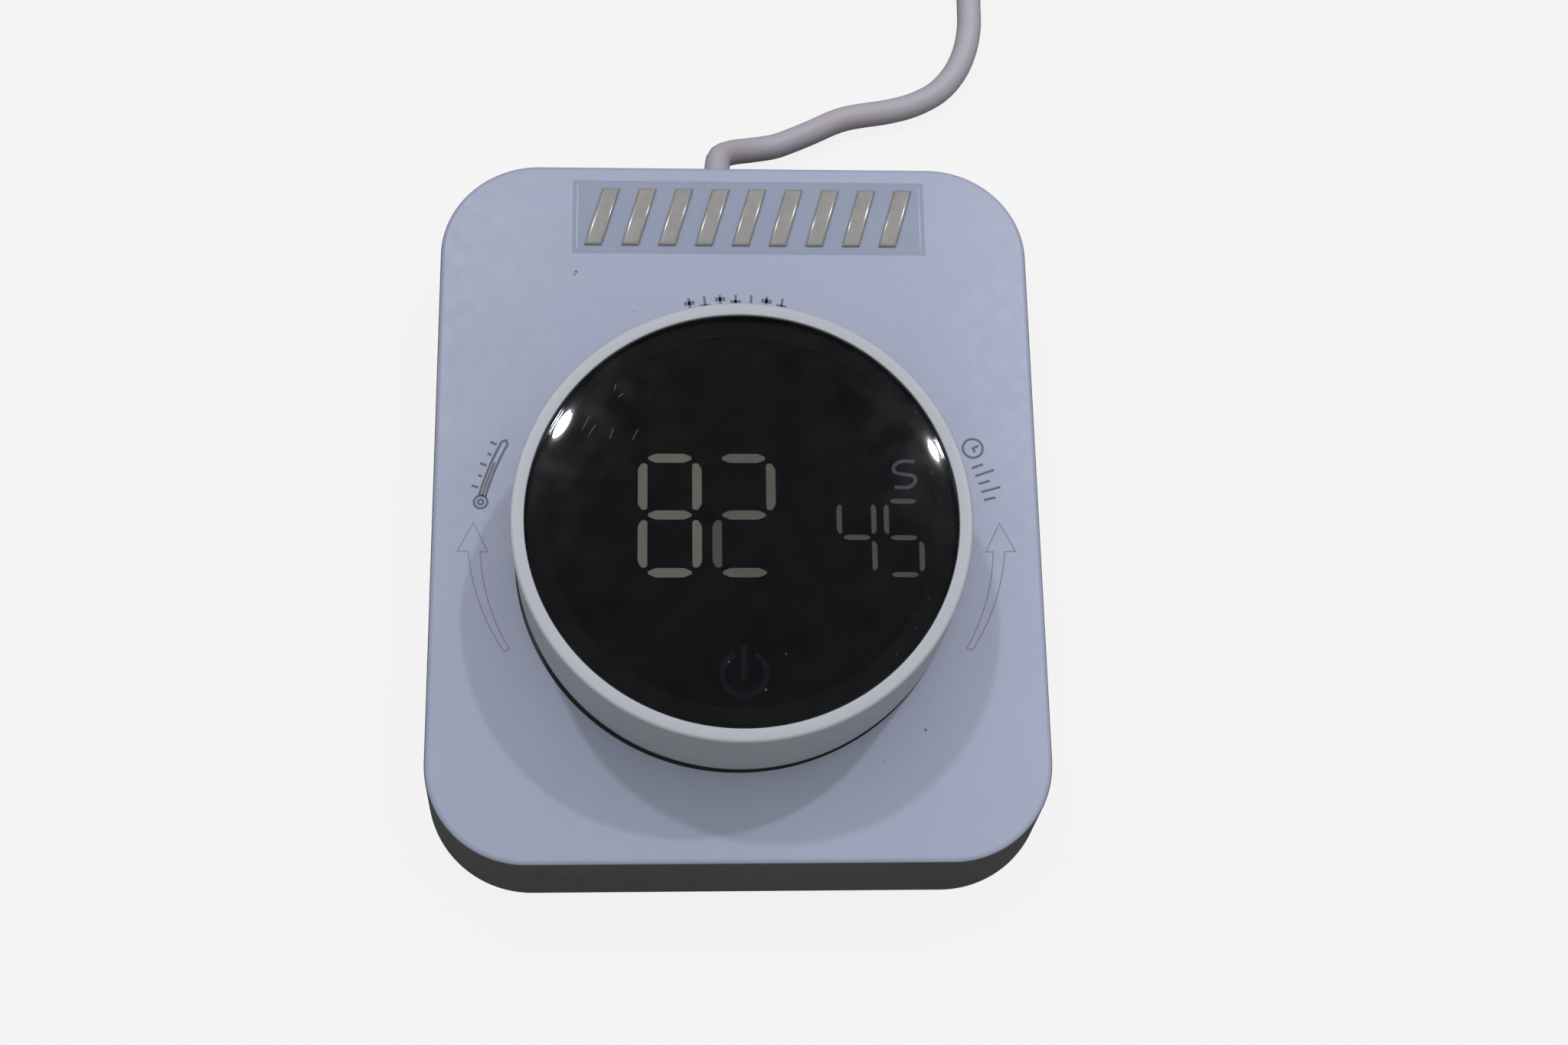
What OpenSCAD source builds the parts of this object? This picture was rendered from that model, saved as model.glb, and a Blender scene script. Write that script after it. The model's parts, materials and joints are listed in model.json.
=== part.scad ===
// Flat tabletop controller: a low two-part case, a large display knob that is
// turned and pushed, and a free cord that ends in a round connector.
// The origin is the middle of the case's footprint on the table: +X to the
// right, +Y to the rear where the cord leaves, +Z up. Sizes are in millimetres.

/* [Case] */
// Width of the case across its top face
case_w = 105; // [102:0.5:110]
// Depth of the case along its top face
case_d = 127.3; // [124:0.1:132]
// Radius of the case's corners at its top face
corner_r = 17.3; // [16:0.1:18.5]
// How far each wall leans out between the top and the bottom
flare = 1.15; // [0.8:0.05:1.6]
// Height of the case's top face above the table
plate_z = 21.9; // [21.7:0.1:22.3]
// Height of the feet that show under the case
foot_h = 1; // [0.8:0.1:1.2]
// Thickness of the walls
wall = 2; // [1.8:0.1:2.2]
// Thickness of the top face
plate_t = 2.2; // [2:0.1:2.4]
// Height of the top casing's outer band, which ends half-way down the rounded edge
band_h = 0.5; // [0.4:0.1:1]
// Rounding of the top edge
edge_r = 1; // [0.6:0.1:1.4]

/* [Knob] */
// Distance of the knob's axis in front of the case's middle
knob_forward = 10.55; // [8:0.05:12]
// Outer radius of the dial ring
ring_r = 37.8; // [37.6:0.1:38.2]
// Radius of the black lens
lens_r = 35.35; // [35.2:0.05:35.4]
// Gap between the case and the dial ring
ring_gap = 0.8; // [0.7:0.1:1]
// Height of the lens's edge above the case
lens_lift = 21.5; // [21.3:0.1:22]
// Rise of the lens's dome, which is nearly flat in the middle and bends at its rim
dome_rise = 1.7; // [1:0.1:2]
// How late the dome bends: 2 is an even curve, more keeps its middle flatter
dome_power = 3.7; // [2:0.1:5]
// Rounding of the dial ring's top edge
ring_edge = 0.6; // [0.4:0.1:1.2]

/* [Gears] */
// Module of the dial gear and the encoder's pinion
gear_module = 0.8; // [0.8:0.05:0.8]
// Teeth of the internal gear in the dial ring
ring_teeth = 88; // [88:8:88]
// Teeth of the encoder's pinion
pinion_teeth = 16; // [16:1:16]

/* [Display] */
// Width and height of the two large digits
big_digit = [10.4, 21.2];
// Width and height of the two small digits
small_digit = [6.5, 13.4];
// Width and height of the unit sign over the small digits
unit_digit = [3.9, 5];

/* [Badge] */
// Width of the clear label
badge_w = 63.5; // [50:0.5:70]
// Height of the clear label
badge_h = 14.4; // [10:0.1:15]
// Number of slanted bars on the label
bar_count = 9; // [5:1:12]

/* [Cord] */
// Diameter of the cord
cord_d = 4.7; // [4.5:0.1:5.2]
// Turns of the coil that lie side by side
coil_side_turns = 4; // [3:1:4]
// Diameter of the round connector's grip
grip_d = 12; // [10:0.5:13]

/* [Hidden] */
eps = 0.01;
round_fn = 96;
small_fn = 32;
hull_fn = 48;

// Heights in the case
floor_z = foot_h + 2;
split_z = plate_z - band_h;
under_plate = plate_z - plate_t;
lip_h = 2.6;
boss_z = 9;
board_z = floor_z + 1;
board_top = board_z + 1.6;

// Places in the case
corner_x = case_w / 2 - corner_r;
corner_y = case_d / 2 - corner_r;
boss_at = [43, 54];
foot_at = [40, 40];
standoff_at = [32, 43];
board_y = -2;
board_size = [74, 96];

// Knob, from the case up
knob_y = -knob_forward;
guide_r = 16;
guide_z = 12;
stem_r = 14;
stem_bore = 11.6;
stem_z = 9.9;
carrier_z = plate_z + 1.5;
carrier_r = 34.6;
carrier_bore = 33;
lens_z = plate_z + lens_lift;
lens_bottom = lens_z - 1.6;
carrier_top = lens_bottom - 0.3;
display_z = lens_bottom - 6.1;
display_top = display_z + 1.6;
frame_top = lens_bottom - 0.5;
ring_top = lens_z + 0.4;
ring_bottom = plate_z + ring_gap;
sleeve_r = 36.9;
land_z = carrier_z + 1.55;
gear_z = carrier_z + 3;
gear_h = 2.8;
clip_z = gear_z + gear_h + 0.1;
post_r = 29.3;

// Gears: the pinion turns inside the dial gear
pinion_angle = 30;
ring_pitch_r = gear_module * ring_teeth / 2;
pinion_pitch_r = gear_module * pinion_teeth / 2;
pinion_at = (ring_pitch_r - pinion_pitch_r)
    * [cos(pinion_angle), sin(pinion_angle)];
tooth_half = 0.225 * PI * gear_module;
flank = tan(20);

// Badge on the top face
badge_at = [2.6, 53.5];
film_t = 0.25;
bar_t = 0.3;

// Digits about the knob's axis: centre, size, bar thickness, gap at each corner
digits = [
    [[-11.85, 0.35], big_digit, 1.55, 1.8],
    [[0.25, 0.35], big_digit, 1.55, 1.8],
    [[18.6, -3.45], small_digit, 0.85, 1.35],
    [[26.3, -3.45], small_digit, 0.85, 1.35],
    [[26.7, 7.5], unit_digit, 0.5, 0.3]
];
power_at = [0, -26.2];

// Cord: the route from the clamp to the coil, and from the coil to the plug
exit_at = [-2.9, 12];
tie_t = 0.8;
coil_at = [15, 150];
coil_out = 35;
coil_in = coil_out - coil_side_turns * cord_d;
coil_h = 2 * cord_d;
cord_route = [
    [-2.9, 52, 12], [-2.9, 58, 12], [-2.9, 63, 12], [-2.9, 66.3, 11.9],
    [-2.8, 69.2, 11.1], [-2.6, 71, 10.2], [-2.1, 72.4, 9.1], [-1.2, 73.6, 7.8],
    [0, 74.6, 6.6], [1.4, 75.5, 5.4], [3, 76.2, 4.4], [4.8, 76.9, 3.6],
    [6.9, 77.6, 2.9], [9.2, 78.4, 2.5], [12.6, 79.9, 2.4], [16, 81.5, 2.4],
    [19.5, 83.3, 2.4], [22.4, 84.4, 2.4], [25.6, 85.1, 2.4], [30.7, 86, 2.4],
    [35.8, 87.6, 2.4], [40.5, 90.4, 2.4], [44, 94.6, 2.4], [46.1, 99.3, 2.4],
    [47.2, 104.5, 2.4], [47.4, 110, 2.4], [47.5, 118, 2.5], [47.6, 128, 2.9],
    [47.65, 138, 3.1]
];
tail_route = [
    [-3, 179.2, 7.8], [-7.5, 178.3, 7], [-12.5, 176.2, 5.4],
    [-17.5, 173, 4], [-22, 168.6, 3.7], [-25.4, 163.4, 4.3],
    [-27.4, 158, 5.3], [-28.2, 152, 6]
];
connector_at = [-28.2, 152, 6];
grip_l = 24;
shell_l = 12;

// Radius of the case's corner at a height
function wall_r(z) = corner_r + flare * (plate_z - z) / (plate_z - foot_h);

// Points of a bar with pointed ends
function bar_points(l, t) = [
    [-l / 2, 0], [-l / 2 + t / 2, t / 2], [l / 2 - t / 2, t / 2],
    [l / 2, 0], [l / 2 - t / 2, -t / 2], [-l / 2 + t / 2, -t / 2]
];

// The seven bars of a digit: place, turn and length
function digit_bars(size, t, gap) = let (
    across = size[0] - t - gap,
    up = (size[1] - t) / 2 - gap,
    x = (size[0] - t) / 2,
    y = (size[1] - t) / 2
) [
    [[0, y], 0, across], [[0, 0], 0, across], [[0, -y], 0, across],
    [[-x, y / 2], 90, up], [[x, y / 2], 90, up],
    [[-x, -y / 2], 90, up], [[x, -y / 2], 90, up]
];

// Outline of a gear: its teeth point out (+1) or in (-1)
function gear_points(teeth, pitch_r, addendum, dedendum, way) = [
    for (i = [0 : teeth - 1], k = [0 : 3])
        let (
            r = pitch_r + way * (k == 1 || k == 2 ? addendum : -dedendum),
            half = tooth_half - flank * way * (r - pitch_r),
            side = k < 2 ? -1 : 1,
            a = 360 * i / teeth + side * half / r * 180 / PI
        )
        [r * cos(a), r * sin(a)]
];

// Unit vector along a route at point i
function unit(v) = v / norm(v);
function heading(p, i) = unit(p[min(i + 1, len(p) - 1)] - p[max(i - 1, 0)]);

// Ring of points square to the route at point i
function ring_points(p, i, r, n) = let (
    t = heading(p, i),
    side = unit(cross(t, [0, 0, 1])),
    up = cross(side, t)
) [
    for (k = [0 : n - 1])
        p[i] + r * (cos(360 * k / n) * side + sin(360 * k / n) * up)
];

// Points of a helix
function helix(r, z0, z1, turns, steps) = [
    for (i = [0 : steps])
        let (a = 360 * turns * i / steps)
        [r * cos(a), r * sin(a), z0 + (z1 - z0) * i / steps]
];

// A closed tube swept along a route
module tube_along(p, r, n) {
    m = len(p);
    points = [for (i = [0 : m - 1]) each ring_points(p, i, r, n)];
    sides = [
        for (i = [0 : m - 2], k = [0 : n - 1])
            let (j = (k + 1) % n)
            [i * n + k, i * n + j, (i + 1) * n + j, (i + 1) * n + k]
    ];
    start = [for (k = [n - 1 : -1 : 0]) k];
    finish = [for (k = [0 : n - 1]) (m - 1) * n + k];
    polyhedron(points, concat([start], sides, [finish]), convexity = 8);
}

// An upright cylinder between two heights
module post(z0, z1, r, fn = small_fn) {
    translate([0, 0, z0]) cylinder(h = z1 - z0, r = r, $fn = fn);
}

// An upright tube between two heights
module tube(z0, z1, r, bore, fn = round_fn) {
    difference() {
        post(z0, z1, r, fn);
        post(z0 - eps, z1 + eps, bore, fn);
    }
}

// A box between two heights, centred on an upright axis
module box_at(at, size, z0, z1) {
    translate([at[0] - size[0] / 2, at[1] - size[1] / 2, z0])
        cube([size[0], size[1], z1 - z0]);
}

// Four copies, one in each quarter
module at_quarters(at) {
    for (sx = [-1, 1], sy = [-1, 1])
        translate([sx * at[0], sy * at[1], 0]) children();
}

// Copies spaced evenly about an upright axis
module around(count, r, first = 90) {
    for (i = [0 : count - 1])
        rotate(first + 360 * i / count) translate([r, 0, 0]) children();
}

module at_knob() {
    translate([0, knob_y, 0]) children();
}

module at_pinion() {
    at_knob() translate(pinion_at) children();
}

module at_coil() {
    translate(coil_at) children();
}

// A slice of the case's shape, inset from its outside
module case_block(z0, z1, inset) {
    hull()
        at_quarters([corner_x, corner_y])
            translate([0, 0, z0])
                cylinder(h = z1 - z0, r1 = wall_r(z0) - inset,
                    r2 = wall_r(z1) - inset, $fn = hull_fn);
}

// The case's outer shape above a height, with its rounded top edge
module rounded_block(z0) {
    arc = [
        for (a = [0 : 15 : 90])
            [corner_r - edge_r + edge_r * cos(a),
                plate_z - edge_r + edge_r * sin(a)]
    ];
    hull()
        at_quarters([corner_x, corner_y])
            rotate_extrude($fn = hull_fn)
                polygon(concat([[0, z0], [wall_r(z0), z0]], arc, [[0, plate_z]]));
}

// Everything wide above a height, to part the case with
module half_space(z0) {
    translate([-100, -100, z0]) cube([200, 200, 50]);
}

// A screw with a cross recess, its head's seat at z, pointing up (+1) or down (-1)
module screw(z, way, head_r, head_h, shank_r, shank_l) {
    low = way > 0 ? z - head_h : z;
    difference() {
        union() {
            post(low, low + head_h, head_r);
            post(way > 0 ? z - eps : z - shank_l,
                way > 0 ? z + shank_l : z + eps, shank_r);
        }
        slot_z = way > 0 ? low - eps : low + head_h * 0.4;
        for (a = [0, 90])
            rotate(a)
                box_at([0, 0], [head_r * 1.2, head_r * 0.25],
                    slot_z, slot_z + head_h * 0.6 + eps);
    }
}

// Case

module lower_casing() {
    color("#3e3e40")
        difference() {
            union() {
                difference() {
                    rounded_block(foot_h);
                    half_space(split_z);
                    case_block(floor_z, split_z + eps, wall);
                }
                at_quarters(boss_at) post(floor_z - 1, boss_z, 4.2);
                translate([0, board_y, 0])
                    at_quarters(standoff_at) post(floor_z - 1, board_z, 3);
                box_at([exit_at[0], 55.5], [17, 5], floor_z - 1, exit_at[1]);
            }
            at_quarters(boss_at) {
                post(foot_h - eps, 5.2, 3);
                post(5, boss_z + eps, 1.7);
            }
            translate([0, board_y, 0])
                at_quarters(standoff_at) post(foot_h + 1, board_z + eps, 0.95);
            at_quarters(foot_at) post(foot_h - eps, foot_h + 0.5, 6.1);
            translate([exit_at[0], 0, exit_at[1]])
                rotate([-90, 0, 0]) {
                    translate([0, 0, 50]) cylinder(h = 8.4, d = cord_d, $fn = small_fn);
                    translate([0, 0, 60]) cylinder(h = 8, r = 4.2, $fn = small_fn);
                }
            for (sx = [-1, 1])
                translate([exit_at[0] + sx * 6, 55.5, 0])
                    post(floor_z + 1, exit_at[1] + eps, 0.95);
        }
}

module top_casing() {
    color("#c9cedb")
        difference() {
            union() {
                difference() {
                    union() {
                        intersection() {
                            rounded_block(foot_h);
                            half_space(split_z);
                        }
                        case_block(split_z - lip_h, split_z + eps, wall + 0.1);
                    }
                    case_block(split_z - lip_h - eps, under_plate, wall + 1.3);
                }
                at_quarters(boss_at) post(boss_z, under_plate + eps, 3.6);
            }
            at_quarters(boss_at) post(boss_z - eps, 17, 1.45);
            at_knob() {
                post(under_plate - eps, plate_z + eps, guide_r + 0.05, round_fn);
                around(3, 18.5) post(under_plate - eps, plate_z - 0.7, 0.8);
            }
        }
}

module case_screws() {
    color("silver") at_quarters(boss_at) screw(5.2, 1, 2.7, 1.8, 1.4, 10);
}

module rubber_feet() {
    color("#202124")
        at_quarters(foot_at) {
            post(0, foot_h + 0.5, 5.6);
            post(0.4, foot_h + 0.5, 6);
        }
}

module badge_film() {
    color([0.8, 0.83, 0.9, 0.5])
        box_at(badge_at, [badge_w, badge_h], plate_z, plate_z + film_t);
}

// A plain row of slanted bars
module badge_bars() {
    pitch = badge_w / (bar_count + 0.6);
    slant = 1.6;
    half_w = pitch * 0.24;
    half_h = badge_h * 0.39;
    color("#b9b3a8")
        for (i = [0 : bar_count - 1])
            translate([
                badge_at[0] + (i - (bar_count - 1) / 2) * pitch, badge_at[1],
                plate_z + film_t
            ])
                linear_extrude(bar_t)
                    polygon([
                        [-half_w - slant, -half_h], [half_w - slant, -half_h],
                        [half_w + slant, half_h], [-half_w + slant, half_h]
                    ]);
}

// Knob guide

module knob_guide() {
    color("#1d1d1f")
        at_knob()
            difference() {
                union() {
                    post(guide_z, plate_z, guide_r, round_fn);
                    post(under_plate - 1.5, under_plate, 21, round_fn);
                }
                post(guide_z - eps, plate_z + eps, stem_r + 0.05, round_fn);
                box_at([0, 0], [2 * stem_r + 3.2, 2.4], guide_z - eps, plate_z + eps);
                around(3, 18.5) post(under_plate - 2, under_plate + eps, 1.1);
            }
}

module guide_screws() {
    color("silver")
        at_knob() around(3, 18.5) screw(under_plate - 1.5, 1, 1.6, 1, 0.75, 2.8);
}

// Main board and its parts

module main_board() {
    color("#2f6b46")
        difference() {
            box_at([0, board_y], board_size, board_z, board_top);
            translate([0, board_y, 0])
                at_quarters(standoff_at) post(board_z - 1, board_top + 1, 1.6);
        }
}

module board_screws() {
    color("silver")
        translate([0, board_y, 0])
            at_quarters(standoff_at) screw(board_top, -1, 2.2, 1.4, 0.9, 3);
}

module controller_chip() {
    color("#1d1d1f") box_at([22, 18], [10, 10], board_top, board_top + 1.6);
}

module buzzer() {
    color("#1d1d1f")
        translate([-25, 22, 0])
            difference() {
                post(board_top, board_top + 8.5, 6, round_fn);
                post(board_top + 7, board_top + 9, 0.9);
            }
}

module capacitor() {
    color("#30343c")
        translate([-22, 37, 0])
            difference() {
                post(board_top, board_top + 11, 3.2);
                post(board_top + 10.8, board_top + 12, 2.4);
            }
}

module regulator() {
    color("#2a2a2c")
        difference() {
            union() {
                box_at([24, 36], [10, 4.6], board_top, board_top + 6);
                box_at([24, 37.6], [10, 1.3], board_top, board_top + 9.5);
            }
            translate([24, 39, board_top + 7.8])
                rotate([90, 0, 0]) cylinder(h = 4, r = 1.2, $fn = small_fn);
        }
}

module tact_switch() {
    color("#3a3a3d")
        at_knob()
            difference() {
                box_at([0, 0], [6, 6], board_top, 9);
                post(7.2, 9 + eps, 1.8);
            }
}

module return_spring() {
    color("silver")
        at_knob()
            tube_along(helix(5.6, board_top + 0.35, stem_z - 0.35, 3, 42), 0.35, 8);
}

module ribbon_socket() {
    color("ivory")
        at_knob()
            difference() {
                box_at([9.2, 0], [3.4, 8], board_top, board_top + 3);
                box_at([9.2, 0], [1.1, 6.4], board_top + 1, board_top + 4);
            }
}

module display_ribbon() {
    color("#d8d8dc")
        at_knob() box_at([9.2, 0], [1, 6.2], board_top + 1, display_z - 1.2);
}

module cord_socket() {
    color("ivory")
        difference() {
            box_at([exit_at[0], 38], [12, 7], board_top, board_top + 6);
            box_at([exit_at[0], 40], [10, 8], board_top + 1, board_top + 5);
        }
}

module cord_plug() {
    color("ivory") box_at([exit_at[0], 40.4], [9.8, 6.4], board_top + 1.1, board_top + 4.9);
}

module cord_cores() {
    for (i = [0 : 3])
        color(["#b03030", "#2b2b2b", "#d8d8d8", "#c8a020"][i])
            tube_along([
                [exit_at[0] + (i - 1.5) * 2.2, 43.65, 8.6],
                [exit_at[0] + (i - 1.5) * 2.2, 44.6, 8.6],
                [exit_at[0] + (i - 1.5) * 2.1, 45.8, 9.1],
                [exit_at[0] + (i - 1.5) * 1.6, 48.5, 11],
                [exit_at[0] + (i - 1.5) * 1.15, 50.5, exit_at[1]],
                [exit_at[0] + (i - 1.5) * 1.15, 52, exit_at[1]]
            ], 0.6, 8);
}

module cord_clamp() {
    color("white")
        difference() {
            box_at([exit_at[0], 55.5], [17, 5], exit_at[1], exit_at[1] + 4);
            translate([exit_at[0], 50, exit_at[1]])
                rotate([-90, 0, 0]) cylinder(h = 10, d = cord_d, $fn = small_fn);
            for (sx = [-1, 1])
                translate([exit_at[0] + sx * 6, 55.5, 0])
                    post(exit_at[1] - 1, exit_at[1] + 5, 1.2);
        }
}

module clamp_screws() {
    color("silver")
        for (sx = [-1, 1])
            translate([exit_at[0] + sx * 6, 55.5, 0])
                screw(exit_at[1] + 4, -1, 2, 1.2, 0.9, 8);
}

// Grommet in the rear wall with a short nose
module strain_relief() {
    nose = 66.4;
    color("#8e8890")
        translate([exit_at[0], 0, exit_at[1]])
            rotate([-90, 0, 0])
                rotate_extrude($fn = small_fn)
                    polygon([
                        [cord_d / 2, 60.6], [5.6, 60.6], [5.6, 61.8],
                        [4.15, 61.8], [4.15, 64.5], [4.6, 64.6], [4.6, 65.1],
                        [3.3, nose], [cord_d / 2, nose]
                    ]);
}

// Moving head: everything that is pushed but doesn't turn

module head_carrier() {
    color("#1d1d1f")
        at_knob()
            difference() {
                union() {
                    post(carrier_z, carrier_z + 1, 36.4, round_fn);
                    post(carrier_z, carrier_z + 1.6, carrier_r, round_fn);
                    tube(carrier_z, carrier_top, carrier_r, carrier_bore);
                    post(stem_z, carrier_z + eps, stem_r, round_fn);
                    box_at([0, 0], [2 * stem_r + 2.8, 2], 13, carrier_z + eps);
                    around(3, post_r) post(carrier_z, display_z, 2.8);
                }
                difference() {
                    post(stem_z + 1.3, carrier_z + 2, stem_bore, round_fn);
                    post(stem_z, stem_z + 1.4, 3);
                }
                box_at([9.2, 0], [3.2, 8.4], stem_z - eps, stem_z + 2);
                difference() {
                    post(11, 11.95, stem_r + 1, round_fn);
                    post(10.9, 12, 13.2, round_fn);
                }
                difference() {
                    post(clip_z, clip_z + 0.85, carrier_r + 1, round_fn);
                    post(clip_z - 0.1, clip_z + 1, 33.9, round_fn);
                }
                translate(pinion_at) post(gear_z - 0.3, gear_z + gear_h + 0.05, 7.5);
                around(3, post_r) post(display_z - 7, display_z + eps, 0.85);
            }
}

// Snap ring that keeps the stem in its guide
module stem_clip() {
    color("silver")
        at_knob()
            difference() {
                tube(11.05, 11.9, 15.4, 13.25);
                box_at([0, 14], [8, 8], 10, 13);
            }
}

module switch_plunger() {
    color("#1d1d1f") at_knob() post(8, stem_z, 1.7);
}

module display_board() {
    color("#1f3a2c")
        at_knob()
            difference() {
                post(display_z, display_top, 32.6, round_fn);
                around(3, post_r) post(display_z - 1, display_top + 1, 1.2);
            }
}

module display_leds() {
    color("#f2efe2")
        at_knob()
            for (d = digits, b = digit_bars(d[1], d[2], d[3]))
                box_at(d[0] + b[0], b[1] == 0 ? [1.2, 0.5] : [0.5, 1.2],
                    display_top, display_top + 0.5);
}

module display_chip() {
    color("#1d1d1f") at_knob() box_at([-10, 4], [7, 10], display_z - 1.6, display_z);
}

module display_socket() {
    color("ivory")
        at_knob()
            difference() {
                box_at([9.2, 0], [3.4, 8], display_z - 2.4, display_z);
                box_at([9.2, 0], [1.1, 6.4], display_z - 3, display_z - 1);
            }
}

module head_screws() {
    color("silver") at_knob() around(3, post_r) screw(display_top, -1, 1.9, 1.2, 0.8, 6);
}

// Block of light wells, one under each bar of each digit
module segment_frame() {
    color("#26262a")
        at_knob()
            difference() {
                post(display_top, frame_top, 32.4, round_fn);
                for (d = digits, b = digit_bars(d[1], d[2], d[3]))
                    translate([d[0][0] + b[0][0], d[0][1] + b[0][1], display_top - 1])
                        rotate(b[1])
                            linear_extrude(10) polygon(bar_points(b[2], d[2]));
                translate(power_at) post(display_top - 1, frame_top + 1, 4.4);
                around(3, post_r) post(display_top - 1, display_top + 1.5, 2.4);
            }
}

module display_film() {
    color("#111214") at_knob() post(frame_top, frame_top + 0.35, 32.8, round_fn);
}

// Sprung contact between the board and the touch key
module touch_spring() {
    color("silver")
        at_knob()
            translate(power_at)
                tube_along(helix(3.2, display_top + 0.3, frame_top - 0.3, 4, 56), 0.3, 8);
}

module lens_adhesive() {
    color("#303034") at_knob() tube(carrier_top, lens_bottom, 34.5, 33.2);
}

module lens() {
    steps = 14;
    dome = [
        for (i = [0 : steps])
            let (share = sqrt(1 - i / steps))
            [lens_r * share, lens_z + dome_rise * (1 - pow(share, dome_power))]
    ];
    color("#101113")
        at_knob()
            rotate_extrude($fn = round_fn)
                polygon(concat(
                    [[0, lens_bottom], [lens_r - 0.3, lens_bottom],
                        [lens_r, lens_bottom + 0.3]],
                    dome
                ));
}

module encoder_body() {
    color("#3a3a3d")
        at_pinion()
            difference() {
                post(30.4, display_z, 3.9);
                post(30.3, 33.4, 1.55);
            }
}

module encoder_pinion() {
    color("white")
        at_pinion() {
            translate([0, 0, gear_z + 0.1])
                rotate(pinion_angle)
                    linear_extrude(gear_h - 0.2)
                        polygon(gear_points(pinion_teeth, pinion_pitch_r, 0.65, 0.8, 1));
            post(gear_z - 0.2, 33.2, 1.5);
        }
}

// Snap ring that keeps the dial on the carrier
module retaining_ring() {
    color("silver")
        at_knob()
            difference() {
                tube(clip_z + 0.05, clip_z + 0.8, 35.6, 33.95);
                rotate(210) box_at([34, 0], [6, 9], clip_z - 1, clip_z + 2);
            }
}

module glide_ring() {
    color("ivory") at_knob() tube(carrier_z + 1, land_z - 0.05, 36.3, 34.7);
}

// Dial: everything that turns with the ring

module dial_ring() {
    lip_r = lens_r + 0.15;
    lip_z = ring_top - 1.6;
    arc = [
        for (a = [0 : 10 : 90])
            [ring_r - ring_edge + ring_edge * cos(a),
                ring_top - ring_edge + ring_edge * sin(a)]
    ];
    color("#dadbe0")
        at_knob()
            rotate_extrude($fn = round_fn)
                polygon(concat(
                    [[sleeve_r, ring_bottom], [ring_r - 0.3, ring_bottom],
                        [ring_r, ring_bottom + 0.3]],
                    arc,
                    [[lip_r + 0.3, ring_top], [lip_r, ring_top - 0.3],
                        [lip_r, lip_z], [sleeve_r, lip_z]]
                ));
}

module gear_sleeve() {
    half_pitch = 180 / ring_teeth;
    color("white")
        at_knob()
            difference() {
                post(land_z, land_z + 9, sleeve_r, round_fn);
                post(land_z - eps, gear_z + eps, carrier_r + 0.05, round_fn);
                translate([0, 0, gear_z])
                    rotate(pinion_angle + half_pitch)
                        linear_extrude(gear_h + eps)
                            polygon(gear_points(ring_teeth, ring_pitch_r, 0.5, 0.9, -1));
                post(gear_z + gear_h, land_z + 10, 36.3, round_fn);
            }
}

// Cord

module cord_run() {
    color("#a79ea6") tube_along(cord_route, cord_d / 2, 12);
}

// Outer shape of the wound turns
module cord_coil() {
    color("#a79ea6") at_coil() tube(tie_t, tie_t + coil_h, coil_out, coil_in);
}

module cord_tail() {
    color("#a79ea6") tube_along(tail_route, cord_d / 2, 12);
}

// Strap round the wound turns
module cord_tie() {
    strap_angle = 18;
    color("#2a2a2e")
        at_coil()
            rotate(215)
                rotate_extrude(angle = strap_angle, $fn = round_fn)
                    difference() {
                        translate([coil_in - tie_t, 0])
                            square([coil_out - coil_in + 2 * tie_t, coil_h + 2 * tie_t]);
                        translate([coil_in, tie_t])
                            square([coil_out - coil_in, coil_h]);
                    }
}

module along_connector() {
    translate(connector_at) rotate([90, 0, 0]) children();
}

module connector_grip() {
    color("#2a2a2e")
        along_connector()
            rotate_extrude($fn = small_fn)
                polygon([
                    [0, 0], [3.2, 0], [4.2, 9], [grip_d / 2, 11],
                    [grip_d / 2, grip_l], [0, grip_l]
                ]);
}

module connector_shell() {
    color("silver")
        along_connector()
            translate([0, 0, grip_l])
                difference() {
                    cylinder(h = shell_l, r = 5, $fn = small_fn);
                    translate([0, 0, 2]) cylinder(h = shell_l, r = 4.2, $fn = small_fn);
                }
}

module connector_pins() {
    color("gold")
        along_connector()
            translate([0, 0, grip_l + 2])
                for (i = [0 : 3])
                    rotate(45 + 90 * i)
                        translate([2.2, 0, 0]) cylinder(h = 7, r = 0.5, $fn = small_fn);
}

lower_casing();
top_casing();
case_screws();
rubber_feet();
knob_guide();
guide_screws();
main_board();
board_screws();
controller_chip();
buzzer();
capacitor();
regulator();
tact_switch();
return_spring();
ribbon_socket();
display_ribbon();
cord_socket();
cord_plug();
cord_cores();
cord_clamp();
clamp_screws();
strain_relief();
badge_film();
badge_bars();
head_carrier();
stem_clip();
switch_plunger();
display_board();
display_leds();
display_chip();
display_socket();
head_screws();
segment_frame();
display_film();
touch_spring();
lens_adhesive();
lens();
encoder_body();
retaining_ring();
glide_ring();
dial_ring();
gear_sleeve();
encoder_pinion();
cord_run();
cord_coil();
cord_tail();
cord_tie();
connector_grip();
connector_shell();
connector_pins();
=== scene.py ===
"""Looks for a flat tabletop controller with a large display knob and a cord.

Everything is in metres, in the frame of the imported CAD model: +X right, +Y to
the rear, +Z up, the table at z = 0. Lengths below are written in millimetres
times MM where that reads better.
"""

import json
import math

import bmesh
import bpy
from mathutils import Matrix, Vector


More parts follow.
